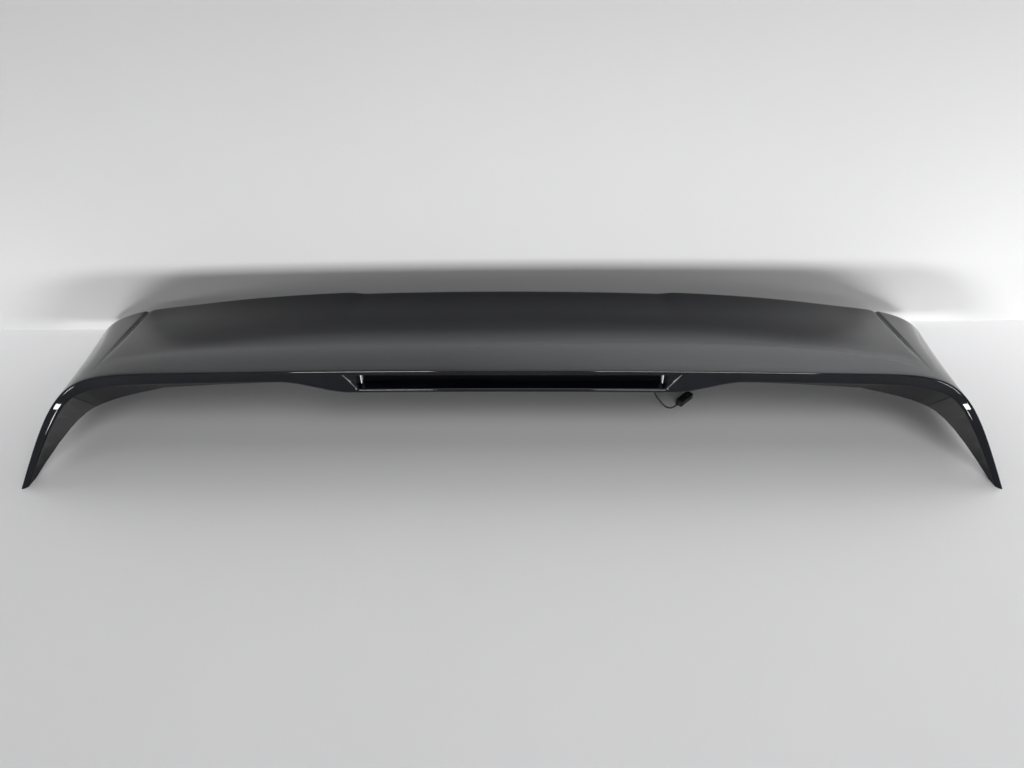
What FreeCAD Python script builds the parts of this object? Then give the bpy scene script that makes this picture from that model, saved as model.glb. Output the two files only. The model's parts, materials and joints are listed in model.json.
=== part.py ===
import FreeCAD, Part
import math
import os

# Rear roof spoiler with two down-turned fins and a brake lamp in its trailing edge, in millimetres.
# X runs across, Y towards the front edge, Z up. It stands on z = 0, on its fin tips and its studs.

V = FreeCAD.Vector

# Outline
tip_span = 1300.0  # across the fin tips
overall_depth = 355.0  # from the fin tips to the middle of the front edge
trailing_height = 123.0  # trailing edge at the middle
trailing_setback = 100.0  # trailing edge ahead of the fin tips
trailing_crown = 5.9  # fall of the trailing edge from the middle to the corners
corner_run = 170.0  # each corner, from the straight stretch out to the fin tip
corner_reach = 119.0  # how far the trailing edge aims straight on into its corner
fin_inset = 38.3  # the fin's slope above its tip: inwards, forwards and up
fin_rake = 95.0
fin_rise = 103.7
front_height = 76.0  # front edge at the middle
front_crown = 10.0  # fall of the front edge from the middle to the corners
front_sweep = 23.0  # sweep of the front edge over the same stretch
front_corner_reach = 95.0
side_flare = 22.0  # feet of the rolled sides outside the fin tips
side_setback = 47.0  # feet of the sides behind the front edge
side_drop = 5.0  # feet of the sides below the table, where the skin is trimmed
side_inset = 32.0  # the side's slope above its foot: inwards, forwards and up
side_lead = 6.0
side_rise = 71.0
camber = 4.0  # bow of the top panel from front to back
notch_depth = 2.0  # middle of the front edge, set back between two short ramps
notch_span = 460.0
notch_ramp = 30.0

# Skin
wall = 3.0
edge_break = 1.4  # small flat that breaks the trailing edge
lip_height = 8.0  # turned-down lip of the front edge
band_height = 20.0  # trailing-edge band
band_undercut = 0.23  # forward shift of the band's lower edge for each millimetre of height
band_chamfer = 3.5
lamp_band_height = 40.0  # band where it drops round the lamp
lamp_band_span = 436.0
lamp_band_ramp = 94.0
fin_band = 12.0  # band on the upper fin
tip_band = 8.0  # band at the fin tip
ditch_depth = 2.0  # groove where the rolled side meets the top panel
ditch_width = 22.0

# Trimmed lower edge of the sides, as heights over the table
side_edge_front = 20.0
side_edge_rear = 30.0
fin_root = 82.0  # root of the fin ahead of its tip
fin_tip_chord = 27.0

# Lower shell and fin liners
shell_wall = 2.5
bond_gap = 0.8  # glue line
closing_gap = 1.6  # glue bead between a liner's closing wall and the skin
bond_height = 8.0  # upstand that is glued behind the band
rim_setback = 48.0  # rim of the shell, ahead of the trailing edge, at the middle
rim_setback_corner = 30.0
rim_setback_tip = 14.0
rim_depth = 40.0  # rim of the shell below the top surface, at the middle
rim_depth_corner = 38.0
rim_depth_tip = 9.0
rim_bulge = 14.0  # how much deeper the rim hangs half way round a corner
liner_start = 1.5  # station where the fin liners take over from the lower shell
liner_lean = 10.0  # forward lean of the liner's closing wall where it is deepest
seam_gap = 0.006  # between shell and liners, in stations
floor_end = 1.62  # last station of the floor before its outer edge
floor_edge_gap = 7.0  # floor's outer edge inside the side's outer surface
floor_bury = 0.8  # floor's start inside the strip that it is moulded with
floor_clear = 4.4  # floor's start ahead of a fin liner
flange_height = 22.0  # underside of the mounting flange
flange_setback = 122.5  # rear edge of the flange behind the middle of the front edge
flange_to_front = 38.0  # from the flange to the front edge
front_wall_gap = 6.0  # front wall of the shell behind the front edge
front_wall_drop = 3.6  # its top below the front edge

# Mounting studs, M6
stud_radius = 3.0
stud_neck = 8.0  # square neck that keeps the stud from turning in the flange
stud_clearance = 0.3
stud_inner_half = 150.0
stud_inner_setback = 72.5  # behind the middle of the front edge
stud_outer_half = 430.0
stud_outer_setback = 82.5
stud_head_width = 16.0  # hexagon across its corners
stud_head = 2.0
seal_pad_width = 24.0
seal_pad_bore = 10.2  # hexagonal punching, across its corners
seal_pad_height = 5.0
front_seal_width = 10.0
front_seal_height = 6.0
front_seal_inset = 4.0

# Lamp: opening in the band, tunnel behind it, and the unit on the tunnel's end
lamp_lip = 10.0  # band above the opening
lamp_height = 25.0
lamp_half_top = 229.0
lamp_half_bottom = 213.0
tunnel_depth = 18.0
tunnel_wall = 2.0
throat_half = 206.0  # clear opening at the tunnel's end
throat_inset = 2.5  # its upper and lower edges inside the opening's
lamp_overlap = 3.0  # lens and housing past the throat
gasket_thick = 1.5
gasket_relief = 0.5
lens_thick = 3.0
lamp_housing_depth = 23.0
lamp_housing_taper = 6.0
lamp_housing_wall = 2.0
board_thick = 1.6
board_margin = 3.5
led_count = 16
led_width = 5.0
led_height = 4.0
led_thick = 1.6
ear_reach = 22.0  # screw ears past the throat
ear_height = 10.0
ear_thick = 2.5
boss_half = 4.0
boss_inset = 6.0  # screw centre from the ear's end
screw_radius = 2.0
screw_clearance = 0.1
screw_length = 11.5
screw_head_width = 7.6  # hexagon across its corners
screw_head = 2.4

# Lead, grommet and plug
lead_radius = 1.1
lead_sides = 5
lead_clearance = 0.1
lead_offset = 12.0  # the lead leaves the housing beside the grommet
grommet_x = 205.0
grommet_setin = 72.0  # ahead of the trailing edge
grommet_neck = 5.0
grommet_clearance = 0.4
grommet_flange = 8.0
grommet_flange_thick = 2.0
plug_length = 28.0
plug_width = 11.0
plug_height = 9.0
plug_heading = 45.0  # degrees from +X on the table
plug_wall = 1.4
plug_socket = 12.0
plug_latch_length = 12.0
plug_latch_width = 4.0
plug_latch_height = 1.4
plug_seal_radius = 3.2
plug_seal_length = 4.0
pin_size = 1.2
pin_length = 9.0
pin_pitch = 4.0

# Push-in clips on the closing walls of the fin liners
clip_station = 1.9
clip_plate = 7.0
clip_plate_thick = 1.5
clip_stem = 4.0
clip_stem_length = 8.0
clip_gap = 0.4

# Places worked out from the sizes above
front_y = overall_depth / 2
tip_y = -overall_depth / 2
trailing_y = tip_y + trailing_setback
straight_half = tip_span / 2 - corner_run
floor_split = liner_start - 2 * seam_gap  # from here outwards the floor is clear of the strip
corner_stations = [1.1, 1.2, 1.28, 1.36, 1.43]
fin_stations = [liner_start, 1.56, 1.62, 1.69, 1.76, 1.84, 1.92, 2.0, 2.12]  # the last one is under the table
flange_rear = front_y - flange_setback
grommet_y = trailing_y + grommet_setin
seat_y = trailing_y + tunnel_depth
opening_top = trailing_height - lamp_lip
opening_bottom = opening_top - lamp_height
lamp_middle = (opening_top + opening_bottom) / 2
lens_y = seat_y + gasket_thick
housing_y = lens_y + lens_thick
housing_back_y = housing_y + lamp_housing_depth
screw_x = throat_half + ear_reach - boss_inset


def lerp(a, b, t):
    return a + (b - a) * t


def ease(start, end, x):
    """0 before start, 1 past end and a smooth S between."""
    t = min(1.0, max(0.0, (x - start) / (end - start)))
    return t * t * (3 - 2 * t)


def bezier(poles, t):
    """A point on a cubic curve, which runs on straight past its end."""
    if t > 1:
        return poles[3] + (poles[3] - poles[2]) * (3 * (t - 1))
    u = 1 - t
    return poles[0] * u**3 + poles[1] * (3 * u * u * t) + poles[2] * (3 * u * t * t) + poles[3] * t**3


# A station is a place across the span: 0 at the middle, 1 where a corner begins and 2 at a fin tip,
# negative on the left.

def corner_end(s, poles):
    point = bezier(poles, abs(s) - 1)
    return V(math.copysign(point.x, s), point.y, point.z)


def trailing_edge(s):
    if abs(s) <= 1:
        return V(s * straight_half, trailing_y, trailing_height - trailing_crown * s * s)
    start = trailing_edge(1.0)
    slope = -2 * trailing_crown / straight_half
    tip = V(tip_span / 2, tip_y, 0)
    poles = [
        start,
        start + V(corner_reach, 0, slope * corner_reach),
        tip + V(-fin_inset, fin_rake, fin_rise),
        tip,
    ]
    return corner_end(s, poles)


def front_edge(s):
    if abs(s) <= 1:
        return V(s * straight_half, front_y - front_sweep * s * s, front_height - front_crown * s**4)
    start = front_edge(1.0)
    aim = V(1, -2 * front_sweep / straight_half, -4 * front_crown / straight_half)
    foot = V(tip_span / 2 + side_flare, front_y - side_setback, -side_drop)
    poles = [
        start,
        start + aim * front_corner_reach,
        foot + V(-side_inset, side_lead, side_rise),
        foot,
    ]
    return corner_end(s, poles)


class Station:
    """The section plane at one place across the span, with its own axes along the chord and out of the skin."""

    def __init__(self, s):
        step = 1e-4
        self.s = s
        self.rear = trailing_edge(s)
        self.along = front_edge(s) - self.rear
        self.chord = self.along.Length
        self.along.normalize()
        span = trailing_edge(s + step) - trailing_edge(s - step)
        self.out = span.cross(self.along)
        self.out.normalize()
        self.bow = camber * (2 - min(2.0, max(1.0, abs(s))))

    def at(self, chord, height):
        return self.rear + self.along * chord + self.out * height

    def surface(self, share):
        """A point of the outer surface at a share of the chord."""
        return self.at(share * self.chord, 4 * self.bow * share * (1 - share))

    def place(self, outline):
        return [self.at(chord, height) for chord, height in outline]


def band_at(s):
    if abs(s) <= 1:
        start = lamp_band_span / 2
        return lerp(lamp_band_height, band_height, ease(start, start + lamp_band_ramp, abs(s) * straight_half))
    t = abs(s) - 1
    return lerp(lerp(band_height, fin_band, ease(0.15, 0.65, t)), tip_band, ease(0.6, 1.05, t))


def rim_at(s):
    """The rim of the lower shell or liner, as chord and depth from the trailing edge."""
    if abs(s) <= 1:
        return lerp(rim_setback, rim_setback_corner, s * s), -lerp(rim_depth, rim_depth_corner, s * s)
    t = abs(s) - 1
    inside = min(t, 1.0)
    depth = lerp(rim_depth_corner, rim_depth_tip, inside * inside) + 4 * rim_bulge * inside * (1 - inside)
    return lerp(rim_setback_corner, rim_setback_tip, t), -depth


def both_sides(values):
    """The same stations on the left and on the right, in order."""
    return sorted({sign * value for value in values for sign in (-1, 1)})


def line(a, b):
    return Part.LineSegment(a, b).toShape()


def bow(a, control, b):
    curve = Part.BezierCurve()
    curve.setPoles([a, control, b])
    return curve.toShape()


def polygon(points):
    return Part.makePolygon(list(points) + [points[0]])


def loft(wires, ruled=False):
    return Part.makeLoft(wires, True, ruled, False)


def box(low, high):
    size = high - low
    return Part.makeBox(size.x, size.y, size.z, low)


def rod(start, end, radius):
    axis = end - start
    return Part.makeCylinder(radius, axis.Length, start, axis)


def hexagon_rod(start, end, width):
    """A hexagonal bar along Y or Z, measured across its corners."""
    axis = end - start
    side = V(1, 0, 0) * (width / 2)
    turn = FreeCAD.Rotation(axis, 60)
    corners = [start + side]
    for _ in range(5):
        side = turn.multVec(side)
        corners.append(start + side)
    return Part.Face(polygon(corners)).extrude(axis)


def block(near, far):
    """A solid of flat faces between two outlines with as many corners."""
    faces = [near, far]
    for i in range(len(near)):
        faces.append([near[i - 1], near[i], far[i], far[i - 1]])
    return Part.Solid(Part.Shell([Part.Face(polygon(face)) for face in faces]))


def strip(path, thick):
    """A closed outline of even thickness on the left of an open path, with mitred corners."""
    normals = []
    for (ax, ay), (bx, by) in zip(path, path[1:]):
        length = math.hypot(bx - ax, by - ay)
        normals.append((-(by - ay) / length, (bx - ax) / length))
    inner = []
    for i, (x, y) in enumerate(path):
        before = normals[max(i - 1, 0)]
        after = normals[min(i, len(normals) - 1)]
        mitre = 1 + before[0] * after[0] + before[1] * after[1]
        inner.append((x + thick * (before[0] + after[0]) / mitre, y + thick * (before[1] + after[1]) / mitre))
    return list(path) + inner[::-1]


# Outer skin

def skin_section(s):
    """The outer form: bowed top, broken edge, band with its chamfer, and straight back to the front lip."""
    st = Station(s)
    band = band_at(s)
    face = band - band_chamfer
    corners = st.place([
        (edge_break, 0),
        (edge_break * band_undercut, -edge_break),
        (face * band_undercut, -face),
        (band * band_undercut + band_chamfer / 2, -band),
        (st.chord, -lip_height),
        (st.chord, 0),
    ])
    edges = [bow(corners[-1], st.at(st.chord / 2, 2 * st.bow), corners[0])]
    return Part.Wire(edges + [line(a, b) for a, b in zip(corners, corners[1:])])


def core_section(s):
    """What is hollow under the skin, out past its open side."""
    st = Station(s)
    low = band_at(s) + wall
    front = st.chord - wall
    corners = [(low * band_undercut + wall, -low), (wall * (1 + band_undercut), -wall)]
    corners += [(front * share, 4 * st.bow * share * (1 - share) - wall) for share in (0.25, 0.5, 0.75)]
    corners += [(front, -wall), (front, -lip_height - wall)]
    return polygon(st.place(corners))


def skin_stations():
    drop = lamp_band_span / 2
    middle = [drop / 2] + [drop + lamp_band_ramp * share for share in (0.0, 0.2, 0.4, 0.6, 0.8, 1.0)]
    middle.append((middle[-1] + straight_half) / 2)
    return both_sides([0.0, 1.0] + [x / straight_half for x in middle] + corner_stations + fin_stations)


def below_the_skin():
    """Everything under the table and under the trimmed edges of the sides and fins."""
    reach = tip_span
    root = V(-reach, tip_y + fin_root, side_edge_rear)
    foot = V(-reach, tip_y + fin_tip_chord, 0)
    nose = V(-reach, front_y + wall, side_edge_front)
    run = root.y - foot.y
    curve = Part.BezierCurve()
    curve.setPoles([foot, foot + V(0, run / 4, side_edge_rear * 0.45), root - V(0, run * 0.4, 0), root])
    rear = V(-reach, tip_y - overall_depth, 0)
    depth = V(0, 0, -overall_depth)
    outline = [nose, nose + depth, rear + depth, rear, foot]
    edges = [line(a, b) for a, b in zip(outline, outline[1:])] + [curve.toShape(), line(root, nose)]
    return Part.Face(Part.Wire(edges)).extrude(V(2 * reach, 0, 0))


def ditch(side):
    """Cutter for the groove that starts deep at the front edge and fades towards the trailing edge."""
    wires = []
    for share, s, depth, width in (
        (1.02, 1.385, ditch_depth, ditch_width),
        (0.75, 1.37, ditch_depth * 0.8, ditch_width * 0.8),
        (0.5, 1.35, ditch_depth * 0.5, ditch_width * 0.6),
        (0.22, 1.32, ditch_depth * 0.05, ditch_width * 0.3),
    ):
        st = Station(side * s)
        point = st.surface(share)
        across = (Station(side * (s + 0.01)).surface(share) - point).normalize()
        wires.append(polygon([
            point + across + st.out * ditch_depth,
            point - st.out * depth,
            point - across * width + st.out * ditch_depth * 0.15,
        ]))
    return loft(wires, ruled=True)


def front_notch():
    """Cutter that sets the middle of the front edge back."""
    half = notch_span / 2
    low = V(0, 0, front_height - 3 * lip_height)
    outer = half + notch_ramp
    points = [front_edge(x / straight_half) for x in (-outer, -half, -half / 2, 0, half / 2, half, outer)]
    outline = [points[0]] + [point - V(0, notch_depth, 0) for point in points[1:-1]] + [points[-1]]
    outline += [points[-1] + V(0, front_sweep, 0), points[0] + V(0, front_sweep, 0)]
    flat = [V(point.x, point.y, low.z) for point in outline]
    return Part.Face(polygon(flat)).extrude(V(0, 0, 6 * lip_height))


def lamp_frame(y, grow=0.0):
    """The tunnel's outline at one depth, grown outwards by a wall."""
    t = (y - trailing_y) / tunnel_depth
    top_half = lerp(lamp_half_top, throat_half, t) + grow
    bottom_half = lerp(lamp_half_bottom, throat_half, t) + grow
    high = opening_top - throat_inset * t + grow
    low = opening_bottom + throat_inset * t - grow
    return polygon([V(-bottom_half, y, low), V(bottom_half, y, low), V(top_half, y, high), V(-top_half, y, high)])


def tunnel(start, end, grow=0.0):
    return loft([lamp_frame(start, grow), lamp_frame(end, grow)], ruled=True)


def outer_skin():
    stations = skin_stations()
    past_tip = stations[-1] + seam_gap
    core = loft([core_section(s) for s in [-past_tip] + stations[1:-1] + [past_tip]], ruled=True)
    skin = loft([skin_section(s) for s in stations], ruled=True).cut([core, below_the_skin()])
    skin = skin.cut([ditch(-1), ditch(1), front_notch()])
    half_wall = wall / 2
    skin = skin.fuse(tunnel(trailing_y + half_wall, seat_y, tunnel_wall))
    for side in (-1, 1):
        low = V(side * screw_x - boss_half, trailing_y + half_wall, lamp_middle - boss_half)
        skin = skin.fuse(box(low, V(low.x + 2 * boss_half, housing_y, low.z + 2 * boss_half)))
    skin = skin.cut(tunnel(trailing_y - tunnel_depth / 2, seat_y + wall))
    for side in (-1, 1):
        end = V(side * screw_x, housing_y, lamp_middle)
        skin = skin.cut(rod(end - V(0, screw_length, 0), end, screw_radius + screw_clearance))
    return skin


# Lower shell and fin liners

def bond_path(s):
    """Upstand behind the band, then the visible strip down to the rim, as chord and height."""
    band = band_at(s)
    glued = wall + bond_gap
    top = max(band - bond_height, wall + closing_gap)
    return [
        (glued + top * band_undercut, -top),
        (glued + band * band_undercut, -band),
        rim_at(s),
    ]


def strip_section(s):
    return polygon(Station(s).place(strip(bond_path(s), shell_wall)))


def liner_top(s):
    """Upper end of a liner's closing wall, as chord and height."""
    chord, depth = rim_at(s)
    return chord - liner_lean * depth / rim_depth_corner, -wall - closing_gap


def liner_section(s):
    return polygon(Station(s).place(strip(bond_path(s) + [liner_top(s)], shell_wall)))


def floor_ends(s):
    """Rear and front end of the floor's underside, between the rim and the mounting flange."""
    rim = Station(s).at(*rim_at(s))
    nose = front_edge(s)
    rear = rim + V(0, floor_bury if abs(s) < floor_split else floor_clear, floor_bury)
    share = (flange_rear - rim.y) / (nose.y - rim.y)
    return rear, V(lerp(rim.x, nose.x, share), flange_rear + floor_bury, flange_height + floor_bury)


def sheet_section(rear, front):
    """A sheet's section in the upright plane through two points of its underside."""
    run = V(front.x - rear.x, front.y - rear.y, 0)
    outline = strip([(0, rear.z), (run.Length, front.z)], shell_wall)
    run.normalize()
    return polygon([V(rear.x + run.x * d, rear.y + run.y * d, z) for d, z in outline])


def side_x(y, z):
    """Half width of the outer surface at one place on the rolled side."""
    low, high = 1.0, 2.0
    while high - low > 1e-6:
        st = Station((low + high) / 2)
        point = st.surface((y - st.rear.y) / (st.along.y * st.chord))
        if point.z > z:
            low = st.s
        else:
            high = st.s
    return point.x


def floor_edge(y, z):
    """Half width of the floor, which ends just inside the skin."""
    return side_x(y, z + shell_wall) - floor_edge_gap


def floor_side(side):
    rear_y = tip_y + fin_root
    rear = V(side * floor_edge(rear_y, side_edge_rear), rear_y, side_edge_rear)
    front = V(side * floor_edge(flange_rear, flange_height), flange_rear + floor_bury, flange_height + floor_bury)
    return sheet_section(rear, front)


def floor():
    middle = [0.0, grommet_x / straight_half, 0.6, 0.8, 1.0, 1.15, 1.3, 1.42]
    rows = both_sides(middle + [floor_split - seam_gap, floor_split, liner_start, fin_stations[1], floor_end])
    return loft([floor_side(-1)] + [sheet_section(*floor_ends(s)) for s in rows] + [floor_side(1)], ruled=True)


def flange():
    """Flat mounting flange, with its upturned front wall."""
    rows = both_sides([0.0, 0.5, 1.0, liner_start])
    noses = [front_edge(s) for s in rows]
    front = [V(nose.x, nose.y - flange_to_front, flange_height) for nose in noses]
    ends = []
    for y in (front[-1].y, flange_rear):
        ends.append(V(floor_edge(y, flange_height), y, flange_height))
    outline = front + ends + [V(-end.x, end.y, end.z) for end in reversed(ends)]
    plate = Part.Face(polygon(outline)).extrude(V(0, 0, shell_wall))
    walls = []
    for nose, foot in zip(noses, front):
        top = V(nose.x, nose.y - front_wall_gap, nose.z - front_wall_drop)
        walls.append(sheet_section(foot + V(0, -floor_bury, floor_bury), top))
    return plate.fuse(loft(walls, ruled=True))


def grommet_axis():
    """Where the lead passes the floor: the underside's point and the way up through it."""
    rear, front = floor_ends(grommet_x / straight_half)
    slope = (front.z - rear.z) / (front.y - rear.y)
    up = V(0, -slope, 1).normalize()
    return V(grommet_x, grommet_y, rear.z + slope * (grommet_y - rear.y)), up


def stud_places():
    return [
        V(side * half, front_y - setback, 0)
        for half, setback in ((stud_inner_half, stud_inner_setback), (stud_outer_half, stud_outer_setback))
        for side in (-1, 1)
    ]


def stud_neck_block(place, clearance=0.0):
    """A stud's square neck in the flange, or the hole for it."""
    half = stud_neck / 2 + clearance
    low = place + V(-half, -half, flange_height)
    return box(low, low + V(2 * half, 2 * half, shell_wall))


def lower_shell():
    rows = [s for s in skin_stations() if abs(s) <= liner_start]
    shell = loft([strip_section(s) for s in rows], ruled=True).fuse([floor(), flange()])
    holes = [stud_neck_block(place, stud_clearance) for place in stud_places()]
    below, up = grommet_axis()
    holes.append(rod(below - up * shell_wall, below + up * (2 * shell_wall), grommet_neck + grommet_clearance))
    holes.append(tunnel(trailing_y, seat_y + wall, tunnel_wall + bond_gap))
    return shell.cut(holes)


def fin_liner(side):
    rows = [side * s for s in [liner_start + seam_gap] + fin_stations[1:]]
    return loft([liner_section(s) for s in rows], ruled=True).cut(below_the_skin())


# Studs and seals

def mounting_studs():
    studs = []
    for place in stud_places():
        shoulder = place + V(0, 0, flange_height)
        top = shoulder + V(0, 0, shell_wall)
        shank = rod(place, shoulder, stud_radius).fuse(stud_neck_block(place))
        studs.append(shank.fuse(hexagon_rod(top, top + V(0, 0, stud_head), stud_head_width)))
    return Part.makeCompound(studs)


def stud_seals():
    pads = []
    half = seal_pad_width / 2
    for place in stud_places():
        top = place + V(0, 0, flange_height)
        low = top - V(0, 0, seal_pad_height)
        pads.append(box(low - V(half, half, 0), top + V(half, half, 0)).cut(hexagon_rod(low, top, seal_pad_bore)))
    return Part.makeCompound(pads)


def front_seal():
    wires = []
    for s in both_sides([0.0, 0.4, 0.8]):
        nose = front_edge(s)
        front = nose.y - flange_to_front - front_seal_inset
        low = flange_height - front_seal_height
        wires.append(polygon([
            V(nose.x, front - front_seal_width, low),
            V(nose.x, front, low),
            V(nose.x, front, flange_height),
            V(nose.x, front - front_seal_width, flange_height),
        ]))
    return loft(wires, ruled=True)


# Lamp unit

def lamp_plate(y, thick, half, low, high):
    return box(V(-half, y, low), V(half, y + thick, high))


def lamp_gasket():
    low, high = opening_bottom + throat_inset, opening_top - throat_inset
    outer = lamp_plate(seat_y, gasket_thick, throat_half + lamp_overlap, low - lamp_overlap, high + lamp_overlap)
    clear = gasket_relief
    return outer.cut(lamp_plate(seat_y, gasket_thick, throat_half + clear, low - clear, high + clear))


def lamp_lens():
    low, high = opening_bottom + throat_inset - lamp_overlap, opening_top - throat_inset + lamp_overlap
    return lamp_plate(lens_y, lens_thick, throat_half + lamp_overlap, low, high)


def lamp_tray(shrink):
    """The housing's tapered block, or its hollow when shrunk by the wall."""
    outlines = []
    half = throat_half + lamp_overlap - shrink
    low = opening_bottom + throat_inset - lamp_overlap + shrink
    high = opening_top - throat_inset + lamp_overlap - shrink
    for y, taper in ((housing_y, 0.0), (housing_back_y - shrink, lamp_housing_taper)):
        outlines.append([
            V(taper - half, y, low + taper),
            V(half - taper, y, low + taper),
            V(half - taper, y, high - taper),
            V(taper - half, y, high - taper),
        ])
    return block(*outlines)


def lead_exit():
    return V(grommet_x - lead_offset, housing_back_y, lamp_middle)


def lamp_housing():
    reach = throat_half + ear_reach
    ears = lamp_plate(housing_y, ear_thick, reach, lamp_middle - ear_height / 2, lamp_middle + ear_height / 2)
    tray = lamp_tray(0.0).fuse(ears).cut(lamp_tray(lamp_housing_wall))
    for side in (-1, 1):
        hole = V(side * screw_x, housing_y, lamp_middle)
        tray = tray.cut(rod(hole, hole + V(0, ear_thick, 0), screw_radius + screw_clearance))
    exit_point = lead_exit()
    bore = rod(exit_point - V(0, lamp_housing_wall, 0), exit_point, lead_radius + lead_clearance)
    return tray.cut(bore)


def board_size():
    back = housing_back_y - lamp_housing_wall
    inset = lamp_housing_wall + lamp_housing_taper + board_margin
    half = throat_half + lamp_overlap - inset
    height = lamp_height - 2 * throat_inset + 2 * lamp_overlap - 2 * (lamp_housing_taper + lamp_housing_wall)
    return back - board_thick, half, height - 1.0


def lamp_board():
    y, half, height = board_size()
    return lamp_plate(y, board_thick, half, lamp_middle - height / 2, lamp_middle + height / 2)


def lamp_leds():
    y, half, _ = board_size()
    pitch = 2 * half / led_count
    leds = []
    for i in range(led_count):
        low = V((i + 0.5) * pitch - half - led_width / 2, y - led_thick, lamp_middle - led_height / 2)
        leds.append(box(low, low + V(led_width, led_thick, led_height)))
    return Part.makeCompound(leds)


def lamp_screws():
    screws = []
    for side in (-1, 1):
        seat = V(side * screw_x, housing_y + ear_thick, lamp_middle)
        head = hexagon_rod(seat, seat + V(0, screw_head, 0), screw_head_width)
        screws.append(head.fuse(rod(seat - V(0, screw_length, 0), seat, screw_radius)))
    return Part.makeCompound(screws)


# Lead, grommet and plug

def cord(points, radius):
    """A tube of straight runs joined by arcs that are as large as the runs allow."""
    edges, radii = [], []
    start = points[0]
    for before, corner, after in zip(points, points[1:], points[2:]):
        back, ahead = before - corner, after - corner
        shorter = min(back.Length, ahead.Length)
        back.normalize()
        ahead.normalize()
        half_turn = (math.pi - back.getAngle(ahead)) / 2
        cut = 0.45 * shorter
        radii.append(round(cut / math.tan(half_turn), 1))
        inwards = (back + ahead).normalize()
        rise = cut / math.tan(half_turn) * (1 / math.cos(half_turn) - 1)
        edges.append(line(start, corner + back * cut))
        edges.append(Part.Arc(corner + back * cut, corner + inwards * rise, corner + ahead * cut).toShape())
        start = corner + ahead * cut
    edges.append(line(start, points[-1]))
    path = Part.Wire(edges)
    aim = points[1] - points[0]
    spoke = aim.cross(V(1, 0, 0)).normalize() * radius
    corners = []
    for i in range(lead_sides):
        corners.append(points[0] + FreeCAD.Rotation(aim, 360 * i / lead_sides).multVec(spoke))
    ring = polygon(corners)
    tube = path.makePipeShell([ring], True, False)
    share = tube.Volume / (Part.Face(ring).Area * path.Length)
    print("cord length", round(path.Length, 1), "radii", radii, "volume share", round(share, 4))
    return tube


def lead_meeting():
    """Where the inner and the outer stretch of the lead meet, half way through the floor."""
    floor, up = grommet_axis()
    return floor + up * (shell_wall / 2), up


def inner_lead():
    meeting, up = lead_meeting()
    start = lead_exit() - V(0, lamp_housing_wall, 0)
    points = [start, start + V(0, 13, 0), start + V(4, 27, -6), start + V(9, 36, -19), meeting + up * 17, meeting]
    return cord(points, lead_radius)


def plug_frame():
    """The plug's rear end at the height of its axis, and the way it points."""
    heading = math.radians(plug_heading)
    return V(245.0, -15.5, plug_height / 2), V(math.cos(heading), math.sin(heading), 0)


def lamp_cable():
    meeting, up = lead_meeting()
    rear, ahead = plug_frame()
    points = [
        meeting,
        meeting - up * 13,
        V(206.5, -16.5, 31.0),
        V(211.5, -16.0, 19.0),
        V(218.5, -13.5, 8.5),
        V(224.5, -16.5, 2.6),
        V(228.5, -20.0, 1.7),
        V(235.0, -22.3, 2.4),
        rear - ahead * 5.5,
        rear,
    ]
    return cord(points, lead_radius)


def cable_grommet():
    below, up = grommet_axis()
    seat = below - up * grommet_clearance
    end = below + up * (shell_wall + grommet_flange_thick)
    body = rod(seat - up * grommet_flange_thick, seat, grommet_flange).fuse(rod(seat, end, grommet_neck))
    return body.cut(rod(seat - up * grommet_flange_thick, end, lead_radius + lead_clearance))


def plug_block(start, length, width, height):
    """A block on the plug's axis, before it is turned to the plug's heading."""
    return box(V(start, -width / 2, -height / 2), V(start + length, width / 2, height / 2))


def set_plug(shape):
    rear, _ = plug_frame()
    placed = shape.copy()
    placed.Placement = FreeCAD.Placement(rear, FreeCAD.Rotation(V(0, 0, 1), plug_heading))
    return placed


def connector_housing():
    start = plug_seal_length / 2
    body = plug_block(start, plug_length, plug_width, plug_height)
    latch_low = V(start + plug_length - plug_latch_length, -plug_latch_width / 2, plug_height / 2)
    latch_high = latch_low + V(plug_latch_length * 0.7, plug_latch_width, plug_latch_height)
    body = body.fuse(box(latch_low, latch_high))
    socket_start = start + plug_length - plug_socket
    body = body.cut(plug_block(socket_start, plug_socket, plug_width - 2 * plug_wall, plug_height - 2 * plug_wall))
    body = body.cut(rod(V(start, 0, 0), V(plug_seal_length, 0, 0), plug_seal_radius))
    for pin in pin_blocks():
        body = body.cut(pin)
    return set_plug(body)


def pin_blocks():
    start = plug_seal_length / 2 + plug_length - plug_socket - pin_length / 3
    half = pin_size / 2
    return [
        box(V(start, y - half, -half), V(start + pin_length, y + half, half))
        for y in (-pin_pitch / 2, pin_pitch / 2)
    ]


def connector_pins():
    return Part.makeCompound([set_plug(pin) for pin in pin_blocks()])


def connector_seal():
    return set_plug(rod(V(0, 0, 0), V(plug_seal_length, 0, 0), plug_seal_radius))


# Fin clips

def closing_wall(s):
    """The lower and upper end of a liner's closing wall."""
    return Station(s).place([rim_at(s), liner_top(s)])


def fin_clip(side):
    step = 0.02
    low, high = closing_wall(side * clip_station)
    middle = (low + high) / 2
    up = (high - low).normalize()
    across = (sum(closing_wall(side * (clip_station + step)), V()) / 2 - middle).normalize()
    ahead = across.cross(up) * -side

    def square(distance, width):
        centre = middle + ahead * distance
        corners = ((-1, -1), (1, -1), (1, 1), (-1, 1))
        return [centre + across * (width / 2 * i) + up * (width / 2 * j) for i, j in corners]

    plate_end = clip_gap + clip_plate_thick
    plate = block(square(clip_gap, clip_plate), square(plate_end, clip_plate))
    stem = block(square(plate_end, clip_stem), square(plate_end + clip_stem_length, clip_stem / 2))
    return plate.fuse(stem)


def fin_clips():
    return Part.makeCompound([fin_clip(-1), fin_clip(1)])


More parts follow.
